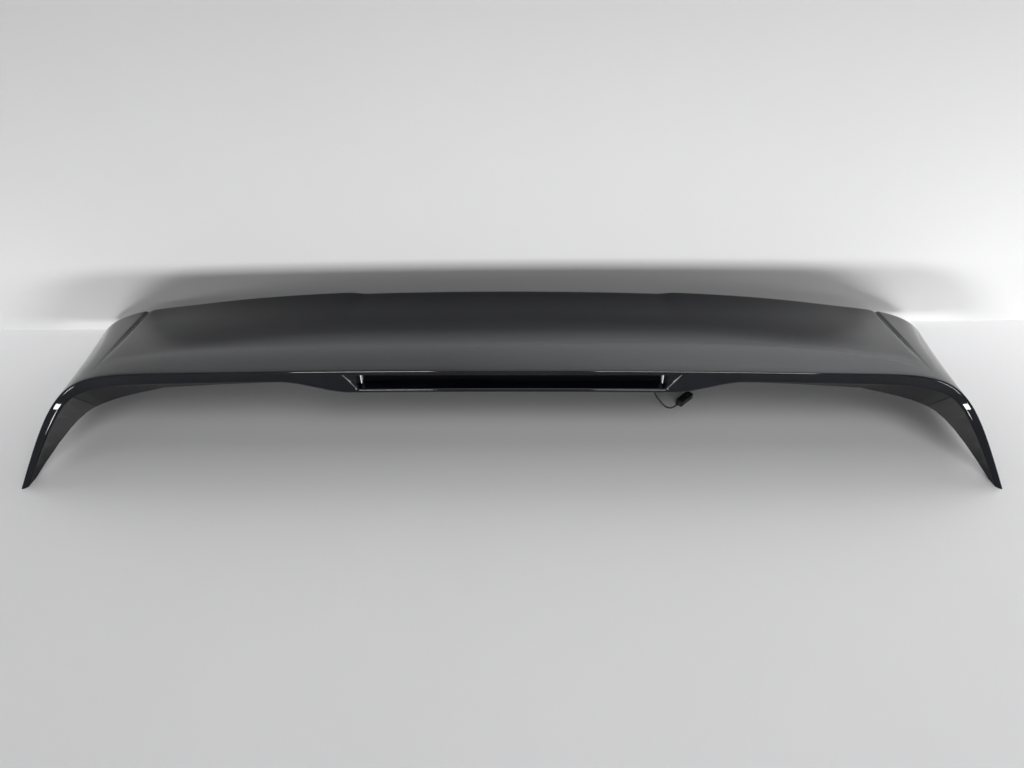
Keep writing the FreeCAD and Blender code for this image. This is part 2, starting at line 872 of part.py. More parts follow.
parts = {
    "outer_skin": outer_skin(),
    "lower_shell": lower_shell(),
    "fin_liners": Part.makeCompound([fin_liner(-1), fin_liner(1)]),
    "mounting_studs": mounting_studs(),
    "stud_seals": stud_seals(),
    "front_seal": front_seal(),
    "fin_clips": fin_clips(),
    "lamp_gasket": lamp_gasket(),
    "lamp_lens": lamp_lens(),
    "lamp_housing": lamp_housing(),
    "lamp_board": lamp_board(),
    "lamp_leds": lamp_leds(),
    "lamp_screws": lamp_screws(),
    "inner_lead": inner_lead(),
    "cable_grommet": cable_grommet(),
    "lamp_cable": lamp_cable(),
    "connector_housing": connector_housing(),
    "connector_seal": connector_seal(),
    "connector_pins": connector_pins(),
}

os.makedirs("parts", exist_ok=True)
for name, shape in parts.items():
    shape.exportStep(f"parts/{name}.step")
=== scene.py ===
"""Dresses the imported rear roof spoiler: painted skin, lamp, fixings, lead and a plain stage."""

import json
import math
from functools import partial

import bmesh
import bpy
from bpy.props import FloatProperty, FloatVectorProperty, IntProperty, PointerProperty
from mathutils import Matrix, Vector


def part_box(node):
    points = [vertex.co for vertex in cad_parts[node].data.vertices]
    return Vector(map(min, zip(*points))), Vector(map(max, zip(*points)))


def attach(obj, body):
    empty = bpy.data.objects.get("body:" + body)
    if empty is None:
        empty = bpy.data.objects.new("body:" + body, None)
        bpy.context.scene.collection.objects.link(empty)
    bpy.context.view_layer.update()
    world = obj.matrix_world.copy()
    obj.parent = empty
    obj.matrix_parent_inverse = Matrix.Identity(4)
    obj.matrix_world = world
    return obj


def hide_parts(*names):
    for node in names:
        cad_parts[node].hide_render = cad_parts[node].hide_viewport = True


bl_info = {
    "name": "Rear Roof Spoiler",
    "version": (1, 0, 0),
    "blender": (4, 5, 0),
    "location": "View3D > Sidebar > Spoiler",
    "description": "Builds the looks of a gloss black roof spoiler round its packed model",
    "category": "Add Mesh",
}

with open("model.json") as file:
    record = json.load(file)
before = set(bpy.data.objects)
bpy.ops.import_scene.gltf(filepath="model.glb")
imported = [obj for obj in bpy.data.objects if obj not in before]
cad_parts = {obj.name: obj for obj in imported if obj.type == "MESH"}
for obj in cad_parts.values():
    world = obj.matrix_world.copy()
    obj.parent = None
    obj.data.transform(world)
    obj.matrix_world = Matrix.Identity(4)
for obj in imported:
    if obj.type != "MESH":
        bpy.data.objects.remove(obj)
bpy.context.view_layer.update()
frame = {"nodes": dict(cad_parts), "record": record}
MM = 0.001


def srgb(hex_colour):
    """A hex colour as the linear red, green and blue that shaders take."""
    channels = [int(hex_colour[i:i + 2], 16) / 255 for i in (1, 3, 5)]
    return tuple(c / 12.92 if c <= 0.04045 else ((c + 0.055) / 1.055) ** 2.4 for c in channels)


def length(name, mm, description):
    return FloatProperty(
        name=name, description=description, default=mm * MM, min=0.0, unit="LENGTH", precision=4
    )


def share(name, value, description):
    return FloatProperty(
        name=name, description=description, default=value, min=0.0, max=1.0, subtype="FACTOR"
    )


def colour(name, hex_colour, description):
    return FloatVectorProperty(
        name=name, description=description, default=srgb(hex_colour), min=0.0, max=1.0, subtype="COLOR"
    )


class SPOILER_PG_outline(bpy.types.PropertyGroup):
    """The curves that the skin is lofted on."""

    tip_span: length("Tip span", 1300.0, "Width across the fin tips")
    depth: length("Depth", 355.0, "From the fin tips to the middle of the front edge")
    trailing_height: length("Trailing height", 123.0, "Height of the trailing edge at the middle")
    trailing_setback: length("Trailing setback", 100.0, "Trailing edge ahead of the fin tips")
    trailing_crown: length("Trailing crown", 5.9, "Fall of the trailing edge towards the corners")
    corner_run: length("Corner run", 170.0, "From the straight stretch out to the fin tip")
    corner_reach: length("Corner reach", 119.0, "How far the trailing edge aims on into its corner")
    fin_inset: length("Fin inset", 38.3, "Inward slope of the fin above its tip")
    fin_rake: length("Fin rake", 95.0, "Forward slope of the fin above its tip")
    fin_rise: length("Fin rise", 103.7, "Upward slope of the fin above its tip")
    front_height: length("Front height", 76.0, "Height of the front edge at the middle")
    front_crown: length("Front crown", 10.0, "Fall of the front edge towards the corners")
    front_sweep: length("Front sweep", 23.0, "Sweep of the front edge towards the corners")
    front_reach: length("Front reach", 95.0, "How far the front edge aims on into its corner")
    side_flare: length("Side flare", 21.8, "Feet of the rolled sides outside the fin tips")
    side_setback: length("Side setback", 47.0, "Feet of the rolled sides behind the front edge")
    side_drop: length("Side drop", 5.0, "Feet of the rolled sides below the table, before the trim")
    side_inset: length("Side inset", 32.0, "Inward slope of the side above its foot")
    side_lead: length("Side lead", 6.0, "Forward slope of the side above its foot")
    side_rise: length("Side rise", 71.0, "Upward slope of the side above its foot")
    camber: length("Camber", 4.0, "Bow of the top panel from front to back")
    side_edge_front: length("Side edge, front", 20.0, "Height of the trimmed side at its front end")
    side_edge_rear: length("Side edge, rear", 30.0, "Height of the trimmed side at the root of the fin")
    fin_root: length("Fin root", 82.0, "Root of the fin ahead of its tip")
    fin_tip_chord: length("Fin tip chord", 27.0, "Length of the fin tip on the table")


class SPOILER_PG_skin(bpy.types.PropertyGroup):
    """Walls, edges and grooves of the painted skin."""

    wall: length("Wall", 3.0, "Thickness of the moulded skin")
    trailing_radius: length("Trailing radius", 3.2, "Rounding of the trailing edge")
    front_radius: length("Front radius", 3.0, "Rounding of the front edge")
    lip: length("Front lip", 8.0, "Height of the turned-down front lip")
    band: length("Band", 20.0, "Height of the trailing-edge band")
    lamp_band: length("Lamp band", 40.0, "Height of the band round the lamp")
    lamp_band_span: length("Lamp band span", 436.0, "Width of the deep part of the band")
    lamp_band_ramp: length("Lamp band ramp", 94.0, "Width of each ramp beside it")
    fin_band: length("Fin band", 12.0, "Height of the band on the upper fin")
    tip_band: length("Tip band", 8.0, "Height of the band at the fin tip")
    undercut: share("Undercut", 0.23, "Forward shift of the band for its height")
    chamfer: length("Chamfer", 3.5, "Turned-in lower edge of the band")
    groove_depth: length("Groove depth", 2.2, "Depth of the groove beside the panel, at the front")
    step_depth: length("Step depth", 2.2, "Drop of the middle of the front edge")
    step_setback: length("Step setback", 2.0, "Middle of the front edge behind its ends")
    step_half: length("Step half width", 230.0, "Half width of the dropped middle")
    step_ramp: length("Step ramp", 30.0, "Width of the ramp at each end of the drop")
    panel_lean: share("Panel lean", 0.16, "Forward lean of the panel's shading at its middle")


class SPOILER_PG_lamp(bpy.types.PropertyGroup):
    """The lamp's recess in the band and the lens behind it."""

    opening_top: length("Opening top", 113.0, "Height of the opening's upper edge")
    opening_bottom: length("Opening bottom", 88.0, "Height of the opening's lower edge")
    half_top: length("Half width, top", 229.0, "Half width of the opening along its upper edge")
    half_bottom: length("Half width, bottom", 213.0, "Half width of the opening along its lower edge")
    throat_half: length("Throat half width", 206.0, "Half width of the clear throat in front of the lens")
    throat_inset: length("Throat inset", 2.5, "Throat's edges inside the opening's")
    tunnel_depth: length("Tunnel depth", 18.0, "From the trailing edge in to the lens seat")
    tunnel_wall: length("Tunnel wall", 2.0, "Thickness of the recess wall")
    edge_rounding: length("Edge rounding", 2.2, "Rounding of the opening's edge")
    lens_rib: length("Lens end rib", 1.2, "Width of the polished rib at each end of the lens")
    rib_reach: length("Rib reach", 10.0, "Polished ribs ahead of the lens")
    led_count: IntProperty(name="LEDs", description="Diodes along the board", default=16, min=1)


class SPOILER_PG_lead(bpy.types.PropertyGroup):
    """The lamp's lead, plug and stud threads."""

    lead_radius: length("Lead radius", 1.1, "Radius of the lead's jacket")
    plug_length: length("Plug length", 28.0, "Length of the plug")
    plug_width: length("Plug width", 11.0, "Width of the plug")
    plug_height: length("Plug height", 9.0, "Height of the plug")
    thread_pitch: length("Thread pitch", 1.0, "Pitch of the M6 studs")
    stud_radius: length("Stud radius", 3.0, "Outer radius of the studs")


class SPOILER_PG_finish(bpy.types.PropertyGroup):
    """Base colours of the finishes."""

    paint: colour("Paint", "#07080e", "Gloss black paint on the skin")
    # The dust colour also carries painted light, laid paler over the panel's rear and its right.
    dust: colour("Dust", "#5b5d61", "Settled dust and wipe marks on the paint")
    shell: colour("Shell", "#0b0b0d", "Moulded shell and fin liners")
    lens: colour("Lens", "#050506", "Smoked lamp lens")
    # The lens edge's pale grey is painted light, for the light that its polished ends pipe.
    edge: colour("Lens edge", "#e6e8ea", "Polished ends of the lens")
    zinc: colour("Zinc", "#a9acae", "Plated studs and screws")
    foam: colour("Foam", "#19191a", "Foam seals")
    rubber: colour("Rubber", "#121212", "Grommet and plug seal")
    plastic: colour("Black plastic", "#141416", "Plug, clips and lamp housing")
    board: colour("Board", "#12301c", "Lacquered circuit board")
    diode: colour("Diode", "#c8c4b4", "Diode bodies")
    brass: colour("Contacts", "#b99a56", "Plug contacts")
    floor: colour("Floor", "#eeeeef", "Table top")
    backdrop: colour("Backdrop", "#d2d2d2", "Wall behind the table")


GROUPS = {
    "spoiler_outline": SPOILER_PG_outline,
    "spoiler_skin": SPOILER_PG_skin,
    "spoiler_lamp": SPOILER_PG_lamp,
    "spoiler_lead": SPOILER_PG_lead,
    "spoiler_finish": SPOILER_PG_finish,
}


def lerp(a, b, t):
    return a + (b - a) * t


def ease(start, end, x):
    """0 before start, 1 past end and a smooth S between."""
    t = min(1.0, max(0.0, (x - start) / (end - start)))
    return t * t * (3 - 2 * t)


def bezier(poles, t):
    """A point on a cubic curve, which runs on straight past its end."""
    if t > 1:
        return poles[3] + (poles[3] - poles[2]) * (3 * (t - 1))
    u = 1 - t
    return poles[0] * u**3 + poles[1] * (3 * u * u * t) + poles[2] * (3 * u * t * t) + poles[3] * t**3


def bisect(low, high, steps, holds):
    """The end of the stretch from low on where a test holds, by halving."""
    for _ in range(steps):
        middle = (low + high) / 2
        if holds(middle):
            low = middle
        else:
            high = middle
    return low


class Form:
    """The spoiler's outline. A station runs from 0 at the middle over 1 at a corner to 2 at a fin tip."""

    # Stretches of a corner, as shares of it, where the band thins to the fin's and then to the tip's height.
    FIN_THINNING = (0.15, 0.65)
    TIP_THINNING = (0.6, 1.05)
    TANGENT_STEP = 1e-4

    def __init__(self, scene):
        o = self.o = scene.spoiler_outline
        self.skin = scene.spoiler_skin
        self.lamp = scene.spoiler_lamp
        self.tip_y = -o.depth / 2
        self.front_y = o.depth / 2
        self.trailing_y = self.tip_y + o.trailing_setback
        self.straight = o.tip_span / 2 - o.corner_run
        rear = self.rear_edge(1.0)
        tip = Vector((o.tip_span / 2, self.tip_y, 0))
        self.rear_poles = [
            rear,
            rear + Vector((1, 0, -2 * o.trailing_crown / self.straight)) * o.corner_reach,
            tip + Vector((-o.fin_inset, o.fin_rake, o.fin_rise)),
            tip,
        ]
        nose = self.front_edge(1.0)
        aim = Vector((1, -2 * o.front_sweep / self.straight, -4 * o.front_crown / self.straight))
        foot = Vector((o.tip_span / 2 + o.side_flare, self.front_y - o.side_setback, -o.side_drop))
        self.front_poles = [
            nose,
            nose + aim * o.front_reach,
            foot + Vector((-o.side_inset, o.side_lead, o.side_rise)),
            foot,
        ]

    def rear_edge(self, s):
        if s > 1:
            return bezier(self.rear_poles, s - 1)
        o = self.o
        return Vector((s * self.straight, self.trailing_y, o.trailing_height - o.trailing_crown * s * s))

    def front_edge(self, s):
        if s > 1:
            return bezier(self.front_poles, s - 1)
        o = self.o
        y = self.front_y - o.front_sweep * s * s
        return Vector((s * self.straight, y, o.front_height - o.front_crown * s**4))

    def station(self, s):
        """Rear point, chord direction, outward direction, chord length and bow at s >= 0, right half."""
        step = self.TANGENT_STEP
        rear = self.rear_edge(s)
        along = self.front_edge(s) - rear
        chord = along.length
        along.normalize()
        before = self.rear_edge(s - step) if s > step else Vector((-step * self.straight, rear.y, rear.z))
        out = (self.rear_edge(s + step) - before).cross(along).normalized()
        return rear, along, out, chord, self.o.camber * (2 - min(2.0, max(1.0, s)))

    def band(self, s):
        """Height of the trailing-edge band: deep round the lamp, and thinning down the fin."""
        skin = self.skin
        if s <= 1:
            start = skin.lamp_band_span / 2
            beside = ease(start, start + skin.lamp_band_ramp, s * self.straight)
            return lerp(skin.lamp_band, skin.band, beside)
        t = s - 1
        upper = lerp(skin.band, skin.fin_band, ease(*self.FIN_THINNING, t))
        return lerp(upper, skin.tip_band, ease(*self.TIP_THINNING, t))

    def trim(self, y):
        """Height of the trimmed lower edge of side and fin."""
        o = self.o
        foot, root = self.tip_y + o.fin_tip_chord, self.tip_y + o.fin_root
        if y <= foot:
            return 0.0
        if y >= root:
            return lerp(o.side_edge_rear, o.side_edge_front, (y - root) / (self.front_y - root))
        run = root - foot
        poles = [Vector((foot, 0)), Vector((foot + run / 4, o.side_edge_rear * 0.45))]
        poles += [Vector((root - run * 0.4, o.side_edge_rear)), Vector((root, o.side_edge_rear))]
        return bezier(poles, bisect(0.0, 1.0, 24, lambda t: bezier(poles, t).x < y)).y


def add_node(tree, kind, inputs=None, **settings):
    """A node with its settings, and its inputs set to values or linked. A node given for an input stands
    for its first output in use."""
    node = tree.nodes.new(kind)
    for key, value in settings.items():
        setattr(node, key, value)
    for key, value in (inputs or {}).items():
        if isinstance(value, bpy.types.Node):
            value = next(socket for socket in value.outputs if socket.enabled)
        if isinstance(value, bpy.types.NodeSocket):
            tree.links.new(value, node.inputs[key])
        else:
            node.inputs[key].default_value = value
    return node


def new_material(name):
    """An empty material, what adds nodes to it, and its object coordinates in metres."""
    material = bpy.data.materials.new(name)
    material.use_nodes = True
    material.node_tree.nodes.clear()
    add = partial(add_node, material.node_tree)
    return material, add, add("ShaderNodeTexCoord").outputs["Object"]


def rgba(rgb, factor=1.0):
    return tuple(c * factor for c in rgb) + (1.0,)


def finish_with(material, add, inputs):
    """Ends a material in one principled shader."""
    shader = add("ShaderNodeBsdfPrincipled", inputs)
    add("ShaderNodeOutputMaterial", {"Surface": shader})
    return material


def gloss_paint(finish):
    """Black paint under lacquer on moulded ABS: deep black below a mirror coat. Settled dust and old
    wipe marks show as a faint grey bloom, and the sprayed lacquer has a trace of orange peel. The dust
    film is also painted light: it is graded paler towards the panel's raised rear and its right."""
    material, add, place = new_material("gloss_black_paint_on_abs")
    # Dust grains are under 0.1 mm; they are drawn 2 mm wide so that they show.
    grain = add("ShaderNodeTexNoise", {
        "Vector": place, "Scale": 1 / (2.0 * MM), "Detail": 3.0, "Roughness": 0.7,
    })
    speck = add("ShaderNodeMapRange", {0: grain, 1: 0.56, 2: 0.8, 3: 0.0, 4: 1.0})
    stretched = add("ShaderNodeMapping", {"Vector": place, "Scale": (1.0, 2.2, 1.0)})
    wipe = add("ShaderNodeTexNoise", {
        "Vector": stretched, "Scale": 1 / (85 * MM), "Detail": 3.0, "Roughness": 0.6, "Distortion": 0.6,
    })
    bloom = add("ShaderNodeMapRange", {0: wipe, 1: 0.42, 2: 0.75, 3: 0.0, 4: 0.02})
    # A film of dust lies on what faces up. Its grading over the panel's raised rear half, and most on
    # its right, is painted light: the panel is made paler where it mirrors more of the lit wall.
    axes = add("ShaderNodeSeparateXYZ", {0: place}).outputs
    facing = add("ShaderNodeNewGeometry").outputs["Normal"]
    upward = add("ShaderNodeSeparateXYZ", {0: facing}).outputs["Z"]
    dust_and_painted_light_film = 1.0
    for value, start, end, least in (
        (upward, 0.8, 0.95, 0.0),
        (axes["Z"], 101 * MM, 119 * MM, 0.0),
        (axes["X"], -100 * MM, 450 * MM, 0.3),
    ):
        dust_and_painted_light_mask = add("ShaderNodeMapRange", {0: value, 1: start, 2: end, 3: least, 4: 1.0})
        dust_and_painted_light_film = add("ShaderNodeMath", {0: dust_and_painted_light_film, 1: dust_and_painted_light_mask}, operation="MULTIPLY")
    settled_dust_and_painted_light = add("ShaderNodeMath", {0: dust_and_painted_light_film, 1: bloom}, operation="ADD")
    dust_wipes_and_painted_light = add("ShaderNodeMath", {0: speck, 1: bloom, 2: settled_dust_and_painted_light}, operation="MULTIPLY_ADD")
    tint = add("ShaderNodeMix", {0: dust_wipes_and_painted_light, 6: rgba(finish.paint), 7: rgba(finish.dust)}, data_type="RGBA")
    peel = add("ShaderNodeTexNoise", {"Vector": place, "Scale": 1 / (6 * MM), "Detail": 0.0})
    coat = add("ShaderNodeBump", {"Height": peel, "Strength": 0.02, "Distance": 0.1 * MM})
    rough = add("ShaderNodeMapRange", {0: wipe, 1: 0.3, 2: 0.7, 3: 0.35, 4: 0.55})
    return finish_with(material, add, {
        "Base Color": tint,
        "Roughness": rough,
        "IOR": 1.5,
        "Specular IOR Level": 0.0,
        "Coat Weight": 0.9,
        "Coat Roughness": 0.04,
        "Coat IOR": 1.4,
        "Coat Normal": coat,
    })


def moulded_black(name, base, grain, strength, roughness):
    """Injection-moulded black plastic or rubber: the tool's fine spark texture gives a soft grain, and
    the colour drifts a little where the melt cooled unevenly."""
    material, add, place = new_material(name)
    lumps = add("ShaderNodeTexNoise", {
        "Vector": place, "Scale": 1 / grain, "Detail": 2.0, "Roughness": 0.6,
    })
    drift = add("ShaderNodeTexNoise", {"Vector": place, "Scale": 1 / (60 * MM), "Detail": 2.0})
    shade = add("ShaderNodeMix", {0: drift, 6: rgba(base, 0.8), 7: rgba(base, 1.25)}, data_type="RGBA")
    bump = add("ShaderNodeBump", {"Height": lumps, "Strength": strength, "Distance": 0.1 * MM})
    rough = add("ShaderNodeMapRange", {
        0: lumps, 1: 0.3, 2: 0.7, 3: roughness - 0.05, 4: roughness + 0.07,
    })
    return finish_with(material, add, {
        "Base Color": shade,
        "Roughness": rough,
        "IOR": 1.5,
        "Specular IOR Level": 0.35,
        "Normal": bump,
    })


def clouded(name, base, tones, size, detail, rough, inputs, stretch=1.0):
    """A finish whose tone and roughness drift together over soft clouds of a given size."""
    material, add, place = new_material(name)
    along = add("ShaderNodeMapping", {"Vector": place, "Scale": (stretch, 1.0, 1.0)})
    cloud = add("ShaderNodeTexNoise", {"Vector": along, "Scale": 1 / size, "Detail": detail})
    shade = add("ShaderNodeMix", {
        0: cloud, 6: rgba(base, tones[0]), 7: rgba(base, tones[1]),
    }, data_type="RGBA")
    dull = add("ShaderNodeMapRange", {0: cloud, 1: 0.3, 2: 0.7, 3: rough[0], 4: rough[1]})
    return finish_with(material, add, {"Base Color": shade, "Roughness": dull, **inputs})


def smoked_acrylic(finish):
    """Smoked acrylic, moulded in a polished tool: near black and sharp, with faint flow streaks along it."""
    return clouded(
        "smoked_acrylic", finish.lens, (1.0, 1.7), 4 * MM, 2.0, (0.05, 0.12), {"IOR": 1.49}, stretch=0.15
    )


def polished_edge(finish):
    """Polished acrylic edge: it pipes the room's light to the eye, and that light is painted in as a pale
    grey colour.
    """
    return clouded("polished_acrylic_edge_painted_light", finish.edge, (0.75, 1.0), 5 * MM, 1.0, (0.2, 0.2), {"IOR": 1.49})


def plated_steel(finish):
    """Zinc-plated steel, rolled and tumbled: grey metal under a cloudy plating."""
    return clouded(
        "zinc_plated_steel", finish.zinc, (0.7, 1.0), 2.5 * MM, 3.0, (0.28, 0.45), {"Metallic": 1.0}
    )


def cast_epoxy(finish):
    """Cast epoxy diode body: glossy and slightly cloudy."""
    return clouded("cast_epoxy", finish.diode, (0.85, 1.0), 1.5 * MM, 1.0, (0.25, 0.25), {"IOR": 1.52})


def stamped_brass(finish):
    """Stamped brass: yellow metal with a fine drawn grain."""
    return clouded("stamped_brass", finish.brass, (0.8, 1.0), 0.8 * MM, 2.0, (0.2, 0.35), {"Metallic": 1.0})


def cellular_foam(finish):
    """Closed-cell EPDM foam, sliced from a block: dull, with cut cells of about 0.8 mm."""
    material, add, place = new_material("closed_cell_foam")
    cells = add("ShaderNodeTexVoronoi", {"Vector": place, "Scale": 1 / (0.8 * MM)})
    shade = add("ShaderNodeMix", {
        0: cells, 6: rgba(finish.foam, 0.6), 7: rgba(finish.foam, 1.4),
    }, data_type="RGBA")
    bump = add("ShaderNodeBump", {"Height": cells, "Strength": 0.5, "Distance": 0.3 * MM})
    return finish_with(material, add, {"Base Color": shade, "Roughness": 0.9, "Normal": bump})


def lacquered_board(finish):
    """Glass-epoxy board under green lacquer: smooth, with the 1.2 mm weave just showing."""
    material, add, place = new_material("lacquered_glass_epoxy")
    weave = add("ShaderNodeTexChecker", {"Vector": place, "Scale": 1 / (1.2 * MM)}).outputs["Fac"]
    shade = add("ShaderNodeMix", {
        0: weave, 6: rgba(finish.board, 0.85), 7: rgba(finish.board, 1.2),
    }, data_type="RGBA")
    return finish_with(material, add, {"Base Color": shade, "Roughness": 0.3, "IOR": 1.5})


def mesh_object(name, mesh, materials):
    piece = bpy.data.objects.new(name, mesh)
    bpy.context.scene.collection.objects.link(piece)
    mesh.materials.clear()
    for material in materials:
        mesh.materials.append(material)
    return piece


def mesh_from(name, bm, sharp_degrees=35.0):
    """Finishes a bmesh: outward normals, smooth shading and sharp edges past an angle."""
    bmesh.ops.recalc_face_normals(bm, faces=bm.faces)
    mesh = bpy.data.meshes.new(name)
    bm.to_mesh(mesh)
    bm.free()
    mesh.shade_smooth()
    mesh.set_sharp_from_angle(angle=math.radians(sharp_degrees))
    return mesh


def settle(piece, *nodes, slot):
    """The piece stands for the named nodes and moves with the whole part."""
    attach(piece, "root")
    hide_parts(*nodes)
    return piece


def bake_modifiers(piece):
    """Turns the piece's modifiers into its plain mesh."""
    view = bpy.context.evaluated_depsgraph_get()
    mesh = bpy.data.meshes.new_from_object(piece.evaluated_get(view))
    mesh.name = piece.name
    piece.modifiers.clear()
    piece.data = mesh
    return mesh


# Points of a CAD mesh that are one, and the bend below which its faces are one.
MERGE = 0.004 * MM
FLAT = math.radians(0.4)


def dressed_copy(node, name, material, slot, bevel=0.0, sharp=28.0):
    """A merged copy of a CAD node with soft edges or even shading and its finish, in the node's place."""
    bm = bmesh.new()
    bm.from_mesh(frame["nodes"][node].data)
    bmesh.ops.remove_doubles(bm, verts=bm.verts, dist=MERGE)
    if bevel:
        bmesh.ops.dissolve_limit(bm, angle_limit=FLAT, verts=bm.verts, edges=bm.edges)
    mesh = mesh_from(name, bm, sharp)
    piece = mesh_object(name, mesh, [material])
    if not bevel:
        piece.modifiers.new("even_shading", "WEIGHTED_NORMAL").keep_sharp = True
        bake_modifiers(piece)
    else:
        edge = piece.modifiers.new("soft_edges", "BEVEL")
        edge.width = bevel
        edge.segments = 2
        edge.limit_method = "ANGLE"
        edge.angle_limit = math.radians(sharp)
        mesh = bake_modifiers(piece)
        mesh.shade_smooth()
        mesh.set_sharp_from_angle(angle=math.radians(sharp + 20))
    return settle(piece, node, slot=slot)


def rounded_block(bm, low, high, radius):
    """A block between two corners with rounded edges."""
    made = bmesh.ops.create_cube(bm, size=1.0)["verts"]
    for vertex in made:
        for axis in range(3):
            vertex.co[axis] = lerp(low[axis], high[axis], vertex.co[axis] + 0.5)
    edges = list({edge for vertex in made for edge in vertex.link_edges})
    bmesh.ops.bevel(bm, geom=edges, offset=radius, segments=2, profile=0.5, affect="EDGES")


class SkinGrid:
    """Rows run round the section from the front lip over the top to the lower edge of the band,
    columns across the span. The outer and inner walls share the grid."""

    TOP_ROWS = 44
    ARC_ROWS = 4
    MIDDLE_STEP = 7.0 * MM
    RAMP_STEP = 4.0 * MM
    CORNER_COLUMNS = (26, 18, 54)
    # The groove's stations at the trailing and the front edge, and its width to either side.
    GROOVE_STATIONS = (1.305, 1.385)
    GROOVE_INNER = 0.05
    GROOVE_OUTER = 0.02
    GROOVE_SLOPE = 1.6
    # Shares of the chord, from the trailing edge, over which groove and front step deepen.
    GROOVE_DEEPENS = (0.02, 0.7)
    STEP_DEEPENS = (0.5, 1.0)
    # Outside the lamp's opening its rows spread out to plain shares of the band over this stretch.
    SPREAD = (12 * MM, 70 * MM)
    SPREAD_SHARES = (0.22, 0.96)
    SLANT_REACH = 80 * MM
    TRIM_STATIONS = (1.4, 2.3)

    def __init__(self, form):
        self.form = form
        self.rows = self.row_plan()
        self.columns = self.column_plan()

    def row_plan(self):
        """Each row as a zone of the section and a share of that zone."""
        rows = [("lip", t) for t in (0.0, 0.5)]
        rows += [("nose", i / self.ARC_ROWS) for i in range(self.ARC_ROWS + 1)]
        rows += [("top", i / self.TOP_ROWS) for i in range(1, self.TOP_ROWS)]
        rows += [("edge", i / self.ARC_ROWS) for i in range(self.ARC_ROWS + 1)]
        rows += [("above", t) for t in (0.35, 0.7, 1.0)]
        rows += [("window", i / 8) for i in range(1, 9)]
        rows += [("below", t) for t in (0.5, 1.0)]
        rows += [("turn", t) for t in (0.35, 0.7, 1.0)]
        return rows

    def column_plan(self):
        """Half widths of the right half's columns up to the corner, then shares of the corner."""
        lamp, skin = self.form.lamp, self.form.skin
        self.end_x = (lamp.half_top + lamp.half_bottom) / 2
        ramp_end = skin.lamp_band_span / 2 + skin.lamp_band_ramp
        xs = []
        for start, end, step in (
            (0.0, self.end_x, self.MIDDLE_STEP),
            (self.end_x, ramp_end, self.RAMP_STEP),
            (ramp_end, self.form.straight, self.MIDDLE_STEP),
        ):
            count = max(1, round((end - start) / step))
            xs += [lerp(start, end, i / count) for i in range(count)]
        self.end_column = round(self.end_x / self.MIDDLE_STEP)
        corner = [zone + i / count for zone, count in enumerate(self.CORNER_COLUMNS) for i in range(count)]
        return [("span", x) for x in xs] + [("corner", t) for t in corner + [3.0]]

    def groove_line(self, row):
        """Station of the groove between panel and rolled side in a row."""
        zone, t = row
        q = {"lip": 1.0, "nose": 1.0, "top": 1 - t}.get(zone, 0.0)
        return lerp(*self.GROOVE_STATIONS, q)

    def corner_station(self, value, row, end):
        """Station of a corner column: up to the groove, across it, and on to the trimmed edge."""
        line = self.groove_line(row)
        stops = (1.0, line - self.GROOVE_INNER, line + self.GROOVE_OUTER, end)
        zone = min(2, int(value))
        return lerp(stops[zone], stops[zone + 1], value - zone)

    def front_middle(self, s):
        """1 along the set-back middle of the front edge, falling to 0 over the ramp at each end."""
        skin = self.form.skin
        x = s * self.form.straight
        return 1 - min(1.0, max(0.0, (x - skin.step_half) / skin.step_ramp))

    def window_edges(self, s, band):
        """How far below the edge the lamp opening begins and ends, along the band."""
        form, lamp, skin = self.form, self.form.lamp, self.form.skin
        face = band - skin.chamfer
        x = s * form.straight
        fade = ease(self.end_x + self.SPREAD[0], self.end_x + self.SPREAD[1], x) if s <= 1 else 1.0
        rise = form.rear_edge(min(s, 1.0)).z
        top = lerp(rise - lamp.opening_top - lamp.edge_rounding, self.SPREAD_SHARES[0] * face, fade)
        bottom = lerp(rise - lamp.opening_bottom + lamp.edge_rounding, self.SPREAD_SHARES[1] * face, fade)
        return max(top, skin.trailing_radius * 1.4), min(bottom, face * 0.985)

    def section(self, s, row, chord, bow):
        """A row's place in the section as chord and height, and the inner wall's."""
        skin = self.form.skin
        zone, t = row
        u, wall, rt, rf = skin.undercut, skin.wall, skin.trailing_radius, skin.front_radius
        band = self.form.band(s)
        face = band - skin.chamfer
        inner_rear = wall * (1 + u)

        def on_band(depth):
            return (depth * u, -depth), (max(depth, wall) * u + wall, -max(depth, wall))

        front = chord - skin.step_setback * self.front_middle(s)
        if zone == "lip":
            outer = (front, lerp(-skin.lip, -rf, t))
            return outer, (front - wall, min(outer[1], -wall))
        if zone == "nose":
            angle = t * math.pi / 2
            outer = (front - rf * (1 - math.cos(angle)), -rf * (1 - math.sin(angle)))
            return outer, (front - wall, -wall)
        if zone == "top":
            c = lerp(front - rf, rt, t)
            q = c / chord
            lift = 4 * bow * q * (1 - q)
            inner_c = min(max(c, inner_rear), front - wall)
            return (c, lift), (inner_c, lift - wall)
        if zone == "edge":
            angle = t * math.pi / 2
            c = rt * (1 - math.sin(angle))
            depth = rt * (1 - math.cos(angle))
            return (c + depth * u, -depth), (inner_rear, -wall)
        top, bottom = self.window_edges(s, band)
        if zone == "above":
            return on_band(lerp(rt, top, t))
        if zone == "window":
            return on_band(lerp(top, bottom, t))
        if zone == "below":
            return on_band(lerp(bottom, face, t))
        angle = t * math.pi / 2
        turn = skin.chamfer
        c = face * u + turn * u * math.sin(angle) + turn / 2 * (1 - math.cos(angle))
        outer = (c, -face - turn * math.sin(angle))
        return outer, (-outer[1] * u + wall, outer[1])

